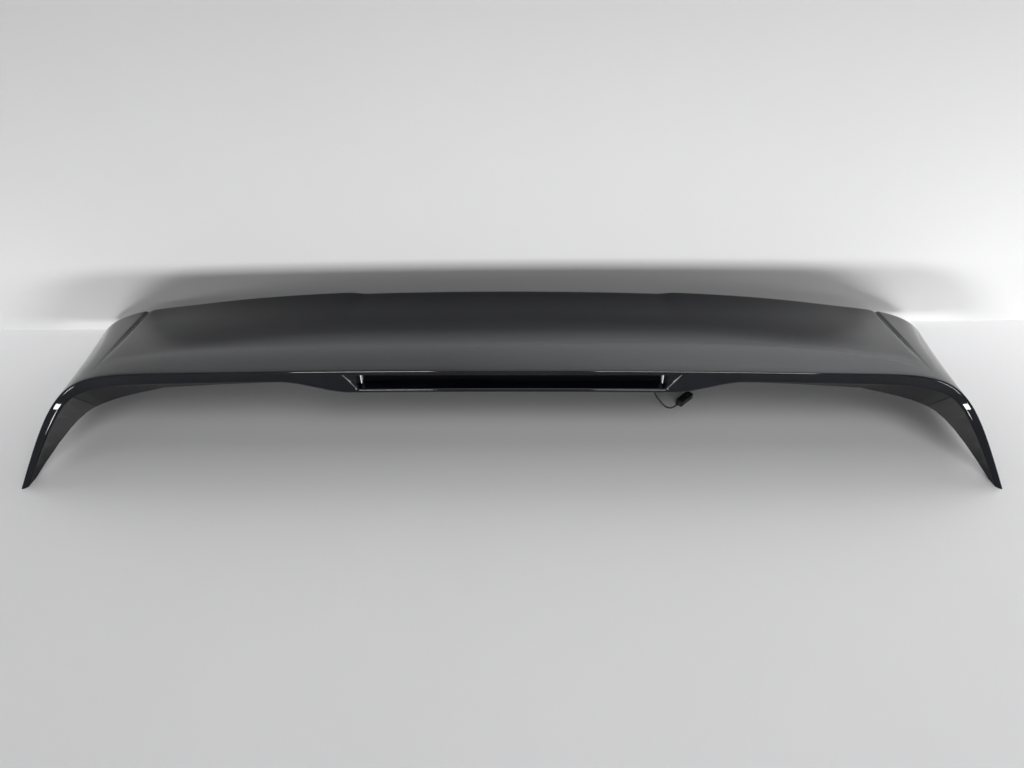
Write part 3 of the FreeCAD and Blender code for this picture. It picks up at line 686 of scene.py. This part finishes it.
    def relief(self, s, row, q):
        """How far the groove and the dropped middle of the front edge lie below the plain surface."""
        skin = self.form.skin
        depth = skin.step_depth * ease(0.0, 1.0, self.front_middle(s)) * ease(*self.STEP_DEEPENS, q)
        off = (s - self.groove_line(row)) / self.GROOVE_INNER
        end = self.GROOVE_OUTER / self.GROOVE_INNER
        if -1 < off < end:
            side = ease(0.0, end, end - off) if off > 0 else (1 + off) ** self.GROOVE_SLOPE
            depth += skin.groove_depth * side * ease(*self.GROOVE_DEEPENS, q)
        return depth

    def slant(self, x, row):
        """Sideways shift of a column that makes the opening's ends lean as the lamp's do."""
        lamp = self.form.lamp
        zone, t = row
        lean = {"above": t, "window": 1 - 2 * t, "below": t - 1}.get(zone, 0.0)
        reach = 1 - min(1.0, abs(x - self.end_x) / self.SLANT_REACH)
        half = (lamp.half_top - lamp.half_bottom) / 2
        height = lamp.opening_top - lamp.opening_bottom
        half *= (height + 2 * lamp.edge_rounding) / height
        return half * lean * reach

    def points(self, s, row):
        """A row's outer and inner point at a station."""
        rear, along, out, chord, bow = self.form.station(s)
        outer, inner = self.section(s, row, chord, bow)
        sunk = self.relief(s, row, outer[0] / chord) if row[0] in ("lip", "nose", "top") else 0.0
        return (
            rear + along * outer[0] + out * (outer[1] - sunk),
            rear + along * inner[0] + out * (inner[1] - sunk),
        )

    def trimmed(self, row, wall):
        """The station where a row of the outer (0) or inner (1) wall meets the trimmed lower edge."""
        def above(s):
            point = self.points(s, row)[wall]
            return point.z > self.form.trim(point.y)

        return bisect(*self.TRIM_STATIONS, 30, above)

    def build(self):
        """Outer and inner points as [column][row] of the whole span, left to right."""
        ends = [[self.trimmed(row, wall) for row in self.rows] for wall in (0, 1)]
        right = []
        for kind, value in self.columns:
            column = ([], [])
            for i, row in enumerate(self.rows):
                for wall in (0, 1):
                    if kind == "span":
                        s = (value + self.slant(value, row)) / self.form.straight
                    else:
                        s = self.corner_station(value, row, ends[wall][i])
                    column[wall].append(self.points(s, row)[wall])
            right.append(column)
        flip = Vector((-1, 1, 1))
        left = [tuple([point * flip for point in wall] for wall in column) for column in right[:0:-1]]
        return left + right


ROUNDING_STEPS = 4
# Shares of the recess's depth where its wall has rings of points.
RECESS_RINGS = (0.4, 1.0)


def skin_mesh(form):
    """The painted skin as one closed mesh, with the lamp's recess let into the band."""
    grid = SkinGrid(form)
    columns = grid.build()
    lamp = form.lamp
    bm = bmesh.new()
    outer = [[bm.verts.new(point) for point in column[0]] for column in columns]
    inner = [[bm.verts.new(point) for point in column[1]] for column in columns]
    last = len(grid.rows) - 1
    middle = len(columns) // 2
    first_col, last_col = middle - grid.end_column, middle + grid.end_column
    window = [i for i, row in enumerate(grid.rows) if row[0] == "window"]
    first_row, last_row = window[0] - 1, window[-1]

    def open_cell(c, r):
        return first_col <= c < last_col and first_row <= r < last_row

    for c in range(len(columns) - 1):
        for r in range(last):
            if open_cell(c, r):
                continue
            bm.faces.new((outer[c][r], outer[c + 1][r], outer[c + 1][r + 1], outer[c][r + 1]))
            bm.faces.new((inner[c][r], inner[c][r + 1], inner[c + 1][r + 1], inner[c + 1][r]))
        for r in (0, last):
            bm.faces.new((outer[c][r], inner[c][r], inner[c + 1][r], outer[c + 1][r]))
    for c in (0, len(columns) - 1):
        for r in range(last):
            bm.faces.new((outer[c][r], outer[c][r + 1], inner[c][r + 1], inner[c][r]))

    ring = [(c, first_row) for c in range(first_col, last_col)]
    ring += [(last_col, r) for r in range(first_row, last_row)]
    ring += [(c, last_row) for c in range(last_col, first_col, -1)]
    ring += [(first_col, r) for r in range(last_row, first_row, -1)]
    seat_y = form.trailing_y + lamp.tunnel_depth
    height = lamp.opening_top - lamp.opening_bottom
    mid_z = (lamp.opening_top + lamp.opening_bottom) / 2

    def recess(point, depth, grow=0.0):
        """A point of the opening's edge carried in to a share of the recess's depth."""
        up = (point.z - mid_z) / (height / 2 + lamp.edge_rounding)
        half = lerp(lamp.half_bottom, lamp.half_top, (up + 1) / 2)
        across = point.x / (half + lamp.edge_rounding)
        half = lerp(half, lamp.throat_half, depth) + grow
        tall = height / 2 - lamp.throat_inset * depth + grow
        return Vector((across * half, lerp(point.y, seat_y, depth), mid_z + up * tall))

    loops = [[outer[c][r] for c, r in ring]]
    for i in range(1, ROUNDING_STEPS + 1):
        angle = i / ROUNDING_STEPS * math.pi / 2
        depth = lamp.edge_rounding / lamp.tunnel_depth * (1 - math.cos(angle))
        loop = []
        for c, r in ring:
            point = outer[c][r].co
            sunk = Vector((0, lamp.edge_rounding * (1 - math.cos(angle)), 0))
            loop.append(bm.verts.new((point + sunk).lerp(recess(point, depth), math.sin(angle))))
        loops.append(loop)
    for depth in RECESS_RINGS:
        loops.append([bm.verts.new(recess(outer[c][r].co, depth)) for c, r in ring])
    loops.append([bm.verts.new(recess(outer[c][r].co, 1.0, lamp.tunnel_wall)) for c, r in ring])
    loops.append([inner[c][r] for c, r in ring])
    for depth, (near, far) in enumerate(zip(loops, loops[1:])):
        for i in range(len(ring)):
            j = (i + 1) % len(ring)
            wall = bm.faces.new((near[i], near[j], far[j], far[i]))
            wall.material_index = 0 if depth < ROUNDING_STEPS else 1
    bmesh.ops.remove_doubles(bm, verts=bm.verts, dist=0.01 * MM)
    return mesh_from("painted_skin", bm, 38.0)


# The panel faces up by at least this. Its lean grows and fades over shares of the chord, from the
# trailing edge, and fades sideways over shares of the straight stretch.
PANEL_UPWARD = 0.6
LEAN_GROWS = (0.0, 0.3)
LEAN_FADES = (0.6, 1.0)
LEAN_SIDES = (1.04, 1.3)


def lean_panel(mesh, form):
    """Leans the shading of the top panel's middle forward a little, so that it mirrors the low part of
    the wall. Its faces stay where they are."""
    chord = form.front_y - form.trailing_y
    normals = []
    for corner, loop in zip(mesh.corner_normals, mesh.loops):
        normal = corner.vector.copy()
        x, y, _ = mesh.vertices[loop.vertex_index].co
        q = min(1.0, max(0.0, (y - form.trailing_y) / chord))
        if normal.z > PANEL_UPWARD:
            inside = 1 - ease(*LEAN_SIDES, abs(x) / form.straight)
            normal.y += form.skin.panel_lean * inside * ease(*LEAN_GROWS, q) * (1 - ease(*LEAN_FADES, q))
        normals.append(normal.normalized())
    mesh.normals_split_custom_set(normals)


class SPOILER_OT_skin(bpy.types.Operator):
    """Build the painted outer skin with its band, grooves and lamp recess"""

    bl_idname = "spoiler.skin"
    bl_label = "Painted Skin"

    def execute(self, context):
        form = Form(context.scene)
        mesh = skin_mesh(form)
        lean_panel(mesh, form)
        finish = context.scene.spoiler_finish
        bare = moulded_black("bare_abs_recess", finish.lens, 1.0 * MM, 0.1, 0.5)
        piece = mesh_object("painted_skin", mesh, [gloss_paint(finish), bare])
        settle(piece, "outer_skin", slot="gloss_black")
        return {"FINISHED"}


class SPOILER_OT_shell(bpy.types.Operator):
    """Dress the lower shell and the fin liners in moulded black plastic"""

    bl_idname = "spoiler.shell"
    bl_label = "Shell and Liners"

    def execute(self, context):
        base = context.scene.spoiler_finish.shell
        plastic = moulded_black("moulded_abs_shell", base, 1.4 * MM, 0.08, 0.55)
        dressed_copy("lower_shell", "moulded_shell", plastic, "shell_black", sharp=24.0)
        dressed_copy("fin_liners", "moulded_fin_liners", plastic, "shell_black", sharp=24.0)
        return {"FINISHED"}


def new_tree(name, inputs):
    """A geometry-node tree with named inputs, what adds nodes to it, and the sockets of the inputs."""
    tree = bpy.data.node_groups.new(name, "GeometryNodeTree")
    for label, kind in {"Geometry": "Geometry", **inputs}.items():
        tree.interface.new_socket(label, in_out="INPUT", socket_type="NodeSocket" + kind)
    tree.interface.new_socket("Geometry", in_out="OUTPUT", socket_type="NodeSocketGeometry")
    add = partial(add_node, tree)
    return tree, add, add("NodeGroupInput").outputs


def copy_to_points(tree, points, shapes, material):
    """Ends a tree: the joined shapes on each point, made real and given their material."""
    joined = add_node(tree, "GeometryNodeJoinGeometry")
    for shape in shapes:
        tree.links.new(shape.outputs[0], joined.inputs[0])
    copies = add_node(tree, "GeometryNodeInstanceOnPoints", {"Points": points, "Instance": joined})
    real = add_node(tree, "GeometryNodeRealizeInstances", {0: copies})
    coated = add_node(tree, "GeometryNodeSetMaterial", {"Geometry": real, "Material": material})
    add_node(tree, "NodeGroupOutput", {0: coated})


def led_tree(material):
    """Geometry nodes: diodes in a row along the board, each a body with a domed top."""
    sizes = {name: "Float" for name in ("Pitch", "Width", "Height", "Thickness")}
    tree, add, given = new_tree("diode_row", {"Count": "Int", **sizes, "Start": "Vector"})
    step = add("ShaderNodeCombineXYZ", {"X": given["Pitch"]})
    line = add("GeometryNodeMeshLine", {
        "Count": given["Count"], "Start Location": given["Start"], "Offset": step,
    })
    size = add("ShaderNodeCombineXYZ", {
        "X": given["Width"], "Y": given["Thickness"], "Z": given["Height"],
    })
    half = add("ShaderNodeMath", {0: given["Thickness"], 1: 0.5}, operation="MULTIPLY")
    shift = add("ShaderNodeCombineXYZ", {"Y": half})
    body = add("GeometryNodeMeshCube", {"Size": size})
    ball = add("GeometryNodeMeshUVSphere", {"Segments": 12, "Rings": 8, "Radius": half})
    shapes = [
        add("GeometryNodeTransform", {"Geometry": shape, "Translation": shift, "Scale": scale})
        for shape, scale in ((body, (1.0, 0.62, 1.0)), (ball, (1.9, 0.95, 1.9)))
    ]
    copy_to_points(tree, line, shapes, material)
    return tree


def grown(name, tree, values, points=None):
    """An object whose mesh a geometry-node tree made from named values."""
    mesh = bpy.data.meshes.new(name)
    mesh.from_pydata(points or [], [], [])
    piece = mesh_object(name, mesh, [])
    modifier = piece.modifiers.new(name, "NODES")
    modifier.node_group = tree
    for item in tree.interface.items_tree:
        if item.in_out == "INPUT" and item.name in values:
            modifier[item.identifier] = values[item.name]
    mesh = bake_modifiers(piece)
    mesh.shade_smooth()
    mesh.set_sharp_from_angle(angle=math.radians(35))
    return piece


class SPOILER_OT_lamp(bpy.types.Operator):
    """Build the smoked lens, and dress the lamp's housing, board and screws"""

    bl_idname = "spoiler.lamp"
    bl_label = "Brake Lamp"

    def execute(self, context):
        finish = context.scene.spoiler_finish
        lamp = context.scene.spoiler_lamp
        low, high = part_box("lamp_lens")
        bm = bmesh.new()
        rounded_block(bm, low, high, 0.6 * MM)
        lens = mesh_object("smoked_lens", mesh_from("smoked_lens", bm), [smoked_acrylic(finish)])
        settle(lens, "lamp_lens", slot="lens")

        bm = bmesh.new()
        half, clear, root = lamp.lens_rib / 2, 3.6 * MM, 0.4 * MM
        rib_x = lamp.throat_half - 2.5 * lamp.lens_rib
        for side in (-1, 1):
            x = side * rib_x
            near = Vector((x - half, low.y - lamp.rib_reach, lamp.opening_bottom + clear))
            far = Vector((x + half, low.y + root, lamp.opening_top - clear))
            rounded_block(bm, near, far, 0.3 * MM)
        ribs = mesh_object("lens_end_ribs", mesh_from("lens_end_ribs", bm), [polished_edge(finish)])
        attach(ribs, "root")

        plastic = moulded_black("moulded_lamp_housing", finish.plastic, 1.0 * MM, 0.12, 0.5)
        dressed_copy("lamp_housing", "lamp_tray", plastic, "lamp_plastic", bevel=0.4 * MM)
        rubber = moulded_black("moulded_rubber", finish.rubber, 0.8 * MM, 0.2, 0.65)
        dressed_copy("lamp_gasket", "lens_gasket", rubber, "rubber", bevel=0.3 * MM)
        dressed_copy("lamp_board", "diode_board", lacquered_board(finish), "board", bevel=0.15 * MM)
        dressed_copy("lamp_screws", "lamp_fixing_screws", plated_steel(finish), "steel", bevel=0.25 * MM)

        low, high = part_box("lamp_leds")
        wide = 5.0 * MM
        diodes = grown("diodes", led_tree(cast_epoxy(finish)), {
            "Count": lamp.led_count,
            "Pitch": (high.x - low.x - wide) / (lamp.led_count - 1),
            "Width": wide,
            "Height": high.z - low.z,
            "Thickness": high.y - low.y,
            "Start": Vector((low.x + wide / 2, low.y, (low.z + high.z) / 2)),
        })
        settle(diodes, "lamp_leds", slot="led")
        return {"FINISHED"}


def stud_tree(material):
    """Geometry nodes: threaded studs on points, each with its thread, square neck and six-sided head."""
    names = ("Radius", "Pitch", "Shank", "Neck Width", "Neck Height", "Head Radius", "Head Height")
    tree, add, given = new_tree("threaded_studs", {name: "Float" for name in names})
    size = {name: given[name] for name in names}
    for name, operation, first, second in (
        ("half_pitch", "MULTIPLY", "Pitch", 0.5),
        ("root", "SUBTRACT", "Radius", "half_pitch"),
        ("half_shank", "MULTIPLY", "Shank", 0.5),
        ("threaded", "SUBTRACT", "Shank", "Pitch"),
        ("turns", "DIVIDE", "threaded", "Pitch"),
        ("half_neck", "MULTIPLY", "Neck Height", 0.5),
        ("neck_middle", "ADD", "Shank", "half_neck"),
        ("neck_top", "ADD", "Shank", "Neck Height"),
        ("half_head", "MULTIPLY", "Head Height", 0.5),
        ("head_middle", "ADD", "neck_top", "half_head"),
    ):
        terms = {0: size[first], 1: size.get(second, second)}
        size[name] = add("ShaderNodeMath", terms, operation=operation)
    core = add("GeometryNodeMeshCylinder", {
        "Vertices": 24, "Radius": size["root"], "Depth": size["Shank"],
    })
    helix = add("GeometryNodeCurveSpiral", {
        "Resolution": 20,
        "Rotations": size["turns"],
        "Start Radius": size["root"],
        "End Radius": size["root"],
        "Height": size["threaded"],
    })
    ridge = add("GeometryNodeCurvePrimitiveCircle", {"Resolution": 4, "Radius": size["half_pitch"]})
    thread = add("GeometryNodeCurveToMesh", {
        "Curve": helix, "Profile Curve": ridge, "Fill Caps": True,
    })
    square = add("ShaderNodeCombineXYZ", {
        "X": size["Neck Width"], "Y": size["Neck Width"], "Z": size["Neck Height"],
    })
    neck = add("GeometryNodeMeshCube", {"Size": square})
    head = add("GeometryNodeMeshCylinder", {
        "Vertices": 6, "Radius": size["Head Radius"], "Depth": size["Head Height"],
    })
    shapes = []
    for shape, middle in (
        (core, "half_shank"), (thread, "half_pitch"), (neck, "neck_middle"), (head, "head_middle"),
    ):
        place = add("ShaderNodeCombineXYZ", {"Z": size[middle]})
        shapes.append(add("GeometryNodeTransform", {"Geometry": shape, "Translation": place}))
    copy_to_points(tree, given["Geometry"], shapes, material)
    return tree


class SPOILER_OT_fixings(bpy.types.Operator):
    """Build the threaded studs, and dress the foam seals and the clips"""

    bl_idname = "spoiler.fixings"
    bl_label = "Studs, Seals and Clips"

    def execute(self, context):
        finish = context.scene.spoiler_finish
        lead = context.scene.spoiler_lead
        places = []
        for mount in frame["record"]["mounts"]:
            half = mount["dims"]["spacing_x_mm"] * MM / 2
            for side in (-1, 1):
                places.append((side * half, mount["pos_m"][1], 0.0))
        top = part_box("mounting_studs")[1].z
        seal_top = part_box("stud_seals")[1].z
        head = 2.0 * MM
        studs = grown("threaded_studs", stud_tree(plated_steel(finish)), {
            "Radius": lead.stud_radius,
            "Pitch": lead.thread_pitch,
            "Shank": seal_top,
            "Neck Width": 8.0 * MM,
            "Neck Height": top - head - seal_top,
            "Head Radius": 8.0 * MM,
            "Head Height": head,
        }, places)
        settle(studs, "mounting_studs", slot="steel")
        foam = cellular_foam(finish)
        dressed_copy("stud_seals", "stud_foam_pads", foam, "foam", bevel=0.7 * MM)
        dressed_copy("front_seal", "front_foam_strip", foam, "foam", bevel=1.2 * MM)
        plastic = moulded_black("moulded_clip", finish.plastic, 0.8 * MM, 0.1, 0.45)
        dressed_copy("fin_clips", "fin_push_clips", plastic, "clip_plastic", bevel=0.3 * MM)
        return {"FINISHED"}


# The lead's route, in millimetres: the same points as its solids have.
CABLE_ROUTE = [
    (206.5, -16.5, 31.0),
    (211.5, -16.0, 19.0),
    (218.5, -13.5, 8.5),
    (224.5, -16.5, 2.6),
    (228.5, -20.0, 1.7),
    (235.0, -22.3, 2.4),
]
PLUG_REAR = Vector((245.0, -15.5, 4.5)) * MM
PLUG_HEADING = math.radians(45.0)
# Half way through the floor under the grommet, and the way up through the floor.
FLOOR_HOLE = Vector((205.0, -4.896, 57.734)) * MM
FLOOR_UP = Vector((0.0, 0.48329, 0.87546))
INNER_START = Vector((193.0, -34.0, 100.5)) * MM
INNER_STEPS = [(0, 13, 0), (4, 27, -6), (9, 36, -19)]


def smooth_cord(name, route, radius, material):
    """A cord on one smooth line through its route, of round section."""
    curve = bpy.data.curves.new(name, "CURVE")
    curve.dimensions = "3D"
    curve.bevel_depth = radius
    curve.bevel_resolution = 4
    curve.resolution_u = 12
    curve.use_fill_caps = True
    spline = curve.splines.new("NURBS")
    spline.points.add(len(route) - 1)
    for point, place in zip(spline.points, route):
        point.co = (*place, 1.0)
    spline.order_u = 3
    spline.use_endpoint_u = True
    curve.materials.append(material)
    piece = bpy.data.objects.new(name, curve)
    bpy.context.scene.collection.objects.link(piece)
    return piece


def plug_mesh(lead):
    """The plug along +X from its rear end: ribbed body, socket and latch."""
    bm = bmesh.new()
    half_w, half_h = lead.plug_width / 2, lead.plug_height / 2
    start = 2.0 * MM
    end = start + lead.plug_length
    mouth = end - 12.0 * MM
    socket = mouth - 0.6 * MM
    wall = 1.4 * MM
    rounded_block(bm, (start, -half_w, -half_h), (mouth, half_w, half_h), 0.7 * MM)
    for low, high in (
        ((socket, -half_w, half_h - wall), (end, half_w, half_h)),
        ((socket, -half_w, -half_h), (end, half_w, wall - half_h)),
        ((socket, -half_w, -half_h), (end, wall - half_w, half_h)),
        ((socket, half_w - wall, -half_h), (end, half_w, half_h)),
    ):
        rounded_block(bm, low, high, 0.3 * MM)
    rib_half, rib_low, rib_high = half_w - 0.8 * MM, half_h - 0.4 * MM, half_h + 0.6 * MM
    for i in range(4):
        x = start + (2.6 + 2.9 * i) * MM
        rounded_block(bm, (x, -rib_half, rib_low), (x + 1.3 * MM, rib_half, rib_high), 0.3 * MM)
    latch_half, latch_end = 2.0 * MM, end - 3.6 * MM
    low, high = half_h - 0.2 * MM, half_h + 1.4 * MM
    rounded_block(bm, (mouth, -latch_half, low), (latch_end, latch_half, high), 0.4 * MM)
    return mesh_from("plug", bm)


class SPOILER_OT_lead(bpy.types.Operator):
    """Build the lamp's lead and plug, and dress the grommet, seal and contacts"""

    bl_idname = "spoiler.lead"
    bl_label = "Lead and Plug"

    def execute(self, context):
        finish = context.scene.spoiler_finish
        lead = context.scene.spoiler_lead
        jacket = moulded_black("extruded_pvc_jacket", finish.rubber, 0.9 * MM, 0.1, 0.4)
        rubber = moulded_black("moulded_rubber_grommet", finish.rubber, 0.8 * MM, 0.2, 0.6)
        plastic = moulded_black("moulded_plug", finish.plastic, 0.8 * MM, 0.1, 0.38)

        mesh = plug_mesh(lead)
        ahead = Vector((math.cos(PLUG_HEADING), math.sin(PLUG_HEADING), 0.0))
        across = Vector((-ahead.y, ahead.x, 0.0))
        for vertex in mesh.vertices:
            x, y, z = vertex.co
            vertex.co = PLUG_REAR + ahead * x + across * y + Vector((0, 0, z))
        plug = settle(mesh_object("plug", mesh, [plastic]), "connector_housing", slot="plug_plastic")
        seal = dressed_copy("connector_seal", "plug_wire_seal", rubber, "rubber", bevel=0.4 * MM)
        brass = stamped_brass(finish)
        contacts = dressed_copy("connector_pins", "plug_contacts", brass, "contact", bevel=0.15 * MM)
        dressed_copy("cable_grommet", "lead_grommet", rubber, "rubber", bevel=0.5 * MM, sharp=40.0)

        route = [FLOOR_HOLE, FLOOR_HOLE - FLOOR_UP * (13 * MM)]
        route += [Vector(point) * MM for point in CABLE_ROUTE]
        route += [PLUG_REAR - ahead * (5.5 * MM), PLUG_REAR]
        cable = smooth_cord("lamp_lead", route, lead.lead_radius, jacket)
        settle(cable, "lamp_cable", slot="lead")

        route = [INNER_START] + [INNER_START + Vector(step) * MM for step in INNER_STEPS]
        route += [FLOOR_HOLE + FLOOR_UP * (17 * MM), FLOOR_HOLE]
        inner = smooth_cord("lamp_lead_inside", route, lead.lead_radius, jacket)
        settle(inner, "inner_lead", slot="lead")
        return {"FINISHED"}


def matt_board(name, base, lump, painted_top_shade=1.0, painted_side_shade=0.0):
    """Matt painted board: dull, with the faint mottling of a rolled coat. Its colour is painted greyer
    towards its top and its left, as painted shade for the fall-off of the light. It is clear from behind
    and to light from behind, so that the part can be seen and lit from every side."""
    material, add, place = new_material(name)
    mottle = add("ShaderNodeTexNoise", {"Vector": place, "Scale": 1 / lump, "Detail": 3.0})
    shade = add("ShaderNodeMix", {0: mottle, 6: rgba(base, 0.98), 7: rgba(base, 1.02)}, data_type="RGBA")
    axes = add("ShaderNodeSeparateXYZ", {0: place}).outputs
    # Painted shade: the colour is scaled down towards the top and towards the left.
    for value, start, end, first, last in (
        (axes["Z"], 0.12, 0.5, 1.0, painted_top_shade),
        (axes["X"], -0.8, 0.8, 1 - painted_side_shade, 1 + painted_side_shade),
    ):
        painted_falloff = add("ShaderNodeMapRange", {0: value, 1: start, 2: end, 3: first, 4: last})
        shade = add("ShaderNodeVectorMath", {0: shade, "Scale": painted_falloff}, operation="SCALE")
    matt = add("ShaderNodeBsdfDiffuse", {"Color": shade})
    clear = add("ShaderNodeBsdfTransparent")
    behind = add("ShaderNodeNewGeometry").outputs["Backfacing"]
    shadow = add("ShaderNodeLightPath").outputs["Is Shadow Ray"]
    unseen = add("ShaderNodeMath", {0: behind, 1: shadow}, operation="MAXIMUM")
    sided = add("ShaderNodeMixShader", {0: unseen, 1: matt, 2: clear})
    add("ShaderNodeOutputMaterial", {"Surface": sided})
    return material


def board(name, corners, material):
    """A flat board of the stage."""
    mesh = bpy.data.meshes.new(name)
    mesh.from_pydata(corners, [], [tuple(range(len(corners)))])
    mesh_object(name, mesh, [material])


def soft_light(name, place, aim, width, height, watts):
    light = bpy.data.lights.new(name, "AREA")
    light.shape = "RECTANGLE"
    light.size = width
    light.size_y = height
    light.energy = watts
    lamp = bpy.data.objects.new(name, light)
    lamp.location = place
    lamp.rotation_euler = (Vector(aim) - Vector(place)).to_track_quat("-Z", "Y").to_euler()
    bpy.context.scene.collection.objects.link(lamp)


# Each light's name, place, aim, width and height in metres, and watts. The two at the back stand
# behind the wall, which lets their light through.
LIGHTS = (
    ("right_window", (1.05, -3.2, 0.16), (0.1, 0.15, 0.1), 1.2, 0.30, 54.0),
    ("left_window", (-0.82, -3.2, 0.16), (-0.1, 0.15, 0.1), 0.77, 0.30, 46.0),
    ("right_fill", (2.4, -1.6, 0.2), (0.6, 0.15, 0.15), 1.0, 0.3, 8.0),
    ("left_fill", (-2.4, -1.6, 0.2), (-0.6, 0.15, 0.15), 1.0, 0.3, 11.0),
    ("ceiling", (0.7, -1.5, 2.45), (0.0, 0.0, 0.0), 2.4, 1.4, 25.0),
    ("right_back", (1.5, 1.0, 0.9), (0.9, -0.1, 0.0), 1.0, 0.8, 11.0),
    ("left_back", (-1.5, 1.0, 0.9), (-0.9, -0.1, 0.0), 1.0, 0.8, 7.0),
)
# The room's strength as light on dull surfaces, and as the eye and mirrors see it.
ROOM_LIGHT = 0.06
ROOM_SEEN = 0.6
TABLE_CORNERS = [(-6, -6, 0), (6, -6, 0), (6, 6, 0), (-6, 6, 0)]
WALL_LEFT = Vector((-4.0, 0.118, 0.0))
WALL_RIGHT = Vector((4.0, 0.247, 0.0))
WALL_HEIGHT = Vector((0.0, 0.0, 3.0))
CAMERA_PLACE = (0.0, -0.8455, 0.780)
CAMERA_DIP = math.radians(41.57)


def room(scene):
    """An even pale room round the stage."""
    world = scene.world = bpy.data.worlds.new("soft_room")
    world.use_nodes = True
    world.node_tree.nodes.clear()
    add = partial(add_node, world.node_tree)
    path = add("ShaderNodeLightPath").outputs
    seen = path["Is Camera Ray"]
    for ray in ("Is Glossy Ray", "Is Transmission Ray"):
        seen = add("ShaderNodeMath", {0: seen, 1: path[ray]}, operation="MAXIMUM")
    strength = add("ShaderNodeMapRange", {0: seen, 1: 0.0, 2: 1.0, 3: ROOM_LIGHT, 4: ROOM_SEEN})
    sky = add("ShaderNodeBackground", {"Color": rgba(srgb("#f4f6f8")), "Strength": strength})
    add("ShaderNodeOutputWorld", {"Surface": sky})


class SPOILER_OT_stage(bpy.types.Operator):
    """Set the table, the wall, soft light and the camera"""

    bl_idname = "spoiler.stage"
    bl_label = "Stage"

    def execute(self, context):
        scene = context.scene
        finish = scene.spoiler_finish
        board("table", TABLE_CORNERS, matt_board("matt_table_board", finish.floor, 0.25))
        wall = [WALL_LEFT, WALL_RIGHT, WALL_RIGHT + WALL_HEIGHT, WALL_LEFT + WALL_HEIGHT]
        # Painted shade: the wall is greyer towards its top and its left, for the light's fall-off.
        painted = matt_board("matt_wall_board", finish.backdrop, 0.4, painted_top_shade=0.72, painted_side_shade=0.1)
        board("wall", wall, painted)
        room(scene)
        for light in LIGHTS:
            soft_light(*light)

        camera = bpy.data.cameras.new("photo_camera")
        camera.sensor_width = 36.0
        camera.lens = 27.03
        eye = bpy.data.objects.new("photo_camera", camera)
        eye.location = CAMERA_PLACE
        eye.rotation_euler = (math.pi / 2 - CAMERA_DIP, 0.0, 0.0)
        scene.collection.objects.link(eye)
        scene.camera = eye
        scene.view_settings.view_transform = "Standard"
        return {"FINISHED"}


class SPOILER_PT_panel(bpy.types.Panel):
    """Lists the spoiler's pieces and their sizes"""

    bl_idname = "SPOILER_PT_panel"
    bl_label = "Rear Roof Spoiler"
    bl_space_type = "VIEW_3D"
    bl_region_type = "UI"
    bl_category = "Spoiler"

    def draw(self, context):
        layout = self.layout
        for operator in OPERATORS:
            layout.operator(operator.bl_idname)
        for key in GROUPS:
            box = layout.box()
            box.label(text=key.split("_")[1].title())
            group = getattr(context.scene, key)
            for name in group.__annotations__:
                box.prop(group, name)


OPERATORS = (
    SPOILER_OT_skin,
    SPOILER_OT_shell,
    SPOILER_OT_lamp,
    SPOILER_OT_fixings,
    SPOILER_OT_lead,
    SPOILER_OT_stage,
)


def register():
    for cls in (*GROUPS.values(), *OPERATORS, SPOILER_PT_panel):
        bpy.utils.register_class(cls)
    for key, group in GROUPS.items():
        setattr(bpy.types.Scene, key, PointerProperty(type=group))


def unregister():
    for key in GROUPS:
        delattr(bpy.types.Scene, key)
    for cls in (SPOILER_PT_panel, *reversed(OPERATORS), *reversed(GROUPS.values())):
        bpy.utils.unregister_class(cls)


def main():
    register()
    bpy.ops.spoiler.stage()
    bpy.ops.spoiler.skin()
    bpy.ops.spoiler.shell()
    bpy.ops.spoiler.lamp()
    bpy.ops.spoiler.fixings()
    bpy.ops.spoiler.lead()


if __name__ == "__main__":
    main()
